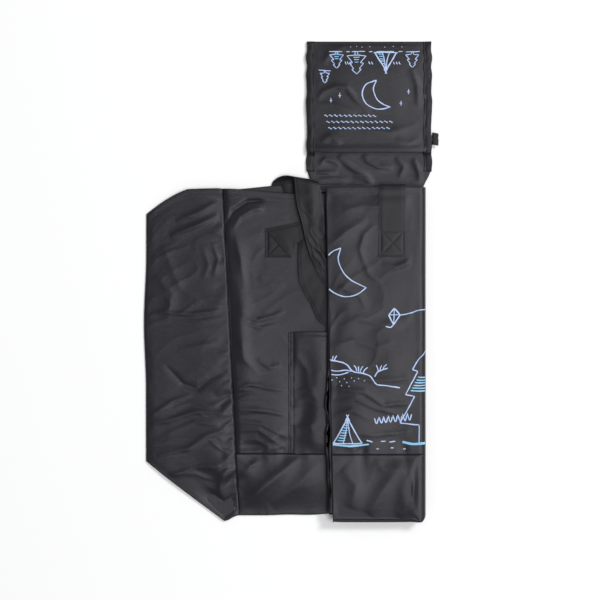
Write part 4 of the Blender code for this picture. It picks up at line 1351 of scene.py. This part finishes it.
def drawn(name, laid, to_flat, lines, material, bounds):
    """Lines of ink on a laid cloth, each (width, points (x, y)) in millimetres, with a hand's wobble."""
    corners, faces = [], []
    for number, (width, points) in enumerate(lines):
        points = np.array(points, float) * MM
        both = np.concatenate([points, np.zeros((len(points), 1))], axis=1)
        length = np.hypot(*np.diff(points, axis=0).T).sum()
        path, at = through(np.concatenate([both, both], axis=1), max(4, round(length / (0.9 * MM))))
        x, y = path[:, 0], path[:, 1]
        x = x + 0.22 * MM * noise(at, at * 0, 5 * MM, 200 + number)
        y = y + 0.22 * MM * noise(at, at * 0, 5 * MM, 300 + number)
        u, v = to_flat(x, y)
        inside = (u > bounds[0]) & (u < bounds[1]) & (v > bounds[2]) & (v < bounds[3])
        centre, normal = on_cloth(laid, u, v, NYLON / 2 + INK)
        tangent = np.gradient(centre, axis=0)
        across = np.cross(normal, tangent)
        across /= np.linalg.norm(across, axis=1, keepdims=True) + 1e-12
        half = width * MM / 2 * (1 + 0.2 * noise(at, at * 0, 4 * MM, 400 + number))
        half = half * np.minimum(1, 0.55 + np.minimum(at, at[-1] - at) / (1.2 * MM))
        first = len(corners)
        for c, a, h in zip(centre, across, half):
            corners += [c - a * h, c + a * h]
        for k in range(len(x) - 1):
            if inside[k] and inside[k + 1]:
                i = first + 2 * k
                faces.append((i, i + 2, i + 3, i + 1))
    used = sorted({corner for face in faces for corner in face})
    order = {corner: place for place, corner in enumerate(used)}
    faces = [tuple(order[corner] for corner in face) for face in faces]
    return mesh_of(name, np.array(corners)[used], faces, material)


def dots(places, width=1.3):
    return [(width, [(x - 0.5, y), (x, y + 0.15), (x + 0.5, y)]) for x, y in places]


def tufts(places, height=6.0):
    """Blades of grass: each a short curved stroke that leans."""
    return [(1.0, [(x, y), (x + 0.25 * lean_x, y + 0.5 * height), (x + lean_x, y + height)])
            for x, y, lean_x in places]


def hatching(outline, spacing, width):
    """Level strokes that fill a shape given by (y, left x, right x)."""
    levels = np.array(outline, float)
    ys = np.arange(levels[0, 0], levels[-1, 0], -spacing)
    lefts = np.interp(-ys, -levels[:, 0], levels[:, 1])
    rights = np.interp(-ys, -levels[:, 0], levels[:, 2])
    return [(width, [(a, y), ((a + b) / 2, y - 0.4), (b, y)])
            for y, a, b in zip(ys, lefts, rights) if b - a > 1.5]


def pine(x, y, size, up=1, girth=1.0):
    """A pine of three tiers, from its tip at (x, y) down (up=1) or up (up=-1)."""
    tiers = ((0, 0), (-0.22, -0.22), (-0.12, -0.24), (-0.34, -0.5), (-0.18, -0.52),
             (-0.44, -0.82), (-0.1, -0.84))
    half = [(x + girth * a * size, y + up * b * size) for a, b in tiers]
    other = [(2 * x - a, b) for a, b in half]
    trunk = [(x - 0.06 * size, y - up * 0.84 * size), (x - 0.06 * size, y - up * 1.04 * size)]
    sides = [[half[i], half[i + 1]] for i in range(6)] + [[other[i], other[i + 1]] for i in range(6)]
    return [(1.1, side) for side in sides] + [(1.1, trunk), (1.1, [(2 * x - a, b) for a, b in trunk])]


def tent(x, y, size, up=1):
    """A small ridge tent with its door open, from its peak at (x, y)."""
    def at(a, b):
        return x + a * size, y + up * b * size
    return [
        (1.3, [at(0, 0), at(-0.28, -0.5), at(-0.6, -1)]), (1.3, [at(0, 0), at(0.28, -0.5), at(0.6, -1)]),
        (1.2, [at(-0.66, -1), at(0, -1.03), at(0.66, -1)]), (1.0, [at(0, 0), at(-0.08, -0.6), at(-0.2, -1)]),
        (1.0, [at(0, 0), at(0.08, -0.6), at(0.2, -1)]), (1.0, [at(-0.06, 0.14), at(0.1, -0.12)]),
        (1.0, [at(0.06, 0.14), at(-0.1, -0.12)]),
    ]


moon = [(1.1, [(115, -63), (112.5, -74), (116, -86), (125, -96), (141, -104)]),
        (1.1, [(115, -63), (106, -67), (99, -75)]),
        (1.1, [(141, -104), (131, -111), (118, -113), (107, -109), (99, -102)])]
kite = [
    (1.4, [(170, -125), (176, -132)]), (1.4, [(176, -132), (169, -142)]), (1.4, [(169, -142), (164, -132)]),
    (1.4, [(164, -132), (170, -125)]), (0.9, [(170, -125), (169, -142)]), (0.9, [(164, -132), (176, -132)]),
    (1.1, [(176, -132), (187, -130), (195, -127), (203, -126)]),
    (1.0, [(169, -142), (166, -145), (161, -144)]),
]
hill = [
    (1.2, [(99, -178), (110, -180), (119, -183), (125, -190), (136, -192), (144, -195), (149, -201),
           (152, -204)]),
    (1.2, [(152, -204), (163, -205), (176, -207)]),
    (1.1, [(99, -188), (108, -190), (117, -189), (124, -190)]),
    (1.0, [(99, -193), (110, -194), (121, -191)]), (1.1, [(149, -196), (154, -190), (163, -187)]),
]
hill += tufts([
    (102, -179, -2), (104, -180, 1), (106, -180, 3), (130, -190, -3), (132, -191, 0), (134, -191, 3),
    (137, -192, 5), (153, -190, -2), (155, -190, 2), (158, -189, 4),
])
specks = dots([
    (103, -199), (108, -197), (111, -201), (116, -198), (119, -202), (124, -197), (127, -200), (132, -198),
    (138, -200), (113, -205), (121, -206),
])
grass = []
for k in range(8):
    x, y = 149 + 4.9 * k, -238 + 0.7 * k
    grass.append((1.1, [(x, y), (151.5 + 4.9 * k, -244 + 0.5 * k), (153.4 + 4.9 * k, -239 + 0.7 * k)]))
ground = [
    (1.1, [(156, -262.5), (161, -262)]), (1.1, [(165, -263), (171, -262.3)]),
    (1.2, [(140, -261), (147, -263)]),
    (1.1, [(151, -270), (154, -270)]), (1.1, [(166, -269), (169, -269)]), (1.1, [(179, -270.5), (182, -270)]),
]
camp = tent(119, -238, 26)
big_pine = pine(201, -168, 92, girth=0.62)
tree_fill = hatching([(-196, 194, 202), (-211, 186, 202)], 2.8, 1.2)
tent_fill = hatching([(-243, 117, 121), (-262, 107, 116)], 2.6, 1.2)
tent_fill += [(1.8, [(101, -265.5), (120, -267), (143, -265.5)]),
              (2.2, [(178, -263), (190, -265), (203, -264)])]


def on_side(x, y):
    return 2 * FOLD_X - x, -y


side_limits = (FOLD_X + 2.5 * MM, PANEL_WIDTH - 1.0 * MM, 0, PANEL_HEIGHT - 2 * MM)
scene_lines = moon + kite + hill + specks + grass + ground + camp + big_pine
side_lines = drawn("side_print", front_laid, on_side, scene_lines, line_ink, side_limits)
side_fills = drawn("side_print_fill", front_laid, on_side, tree_fill + tent_fill, fill_ink, side_limits)
for piece in (side_lines, side_fills):
    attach(piece, "turned_side")

ground_ends = ((102, 116), (120, 124), (126, 140), (144, 148), (152, 171), (175, 180), (183, 198))
pouch_lines = [(0.9, [(a, 141.2), (b, 141.4)]) for a, b in ground_ends]
pouch_lines += dots([(125, 146), (131, 146.5), (137, 146), (145, 146.3), (161, 146), (170, 146.5),
                     (179, 146)], 0.9)
for x, y, size in ((110, 124, 17), (131, 118, 23), (190, 125, 16), (97.5, 109, 12)):
    pouch_lines += [(0.8, points) for _, points in pine(x, y, size, up=-1)]
pouch_lines.append((0.9, [(91, 122), (104, 121.5)]))
pouch_lines += tent(162, 121, 19, up=-1)
pouch_lines += tufts([(k, 131, 1.5) for k in (119, 121.5, 124, 144, 147, 170, 173, 176)], height=-3)
pouch_lines += [(1.1, [(152, 112), (141, 107), (137, 97), (142, 87), (154, 82), (167, 84)]),
                (1.1, [(152, 112), (149, 103), (152, 93), (159, 87), (167, 84)])]
for x, y in ((104, 91), (113.5, 96), (186, 100), (178, 88)):
    pouch_lines += [(0.8, [(x, y - 2.6), (x, y + 2.6)]), (0.8, [(x - 1.5, y), (x + 1.5, y)])]
for y, start, count in ((75.2, 97, 11), (68.8, 99, 14), (62.4, 101, 13)):
    for k in range(count):
        x = start + 5.1 * k
        pouch_lines.append((0.8, [(x, y), (x + 1, y + 1), (x + 2, y), (x + 3, y - 1), (x + 4, y)]))


def on_pouch(x, y):
    return x - POUCH_LEFT, y - POUCH_MOUTH


pouch_limits = (BINDING_WIDTH, POUCH_WIDTH - BINDING_WIDTH, 0, POUCH_END - POUCH_MOUTH - 3 * MM)
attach(drawn("pouch_print", pouch_front_laid, on_pouch, pouch_lines, line_ink, pouch_limits), "stow_pouch")
pouch_fill = []
for shape in ([(139, 107, 113), (133, 108, 112)], [(138, 127, 135), (130, 129, 133)],
              [(139, 154, 160), (128, 158, 161)]):
    pouch_fill += hatching(shape, 2.4, 0.9)
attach(drawn("pouch_print_fill", pouch_front_laid, on_pouch, pouch_fill, fill_ink, pouch_limits),
        "stow_pouch")
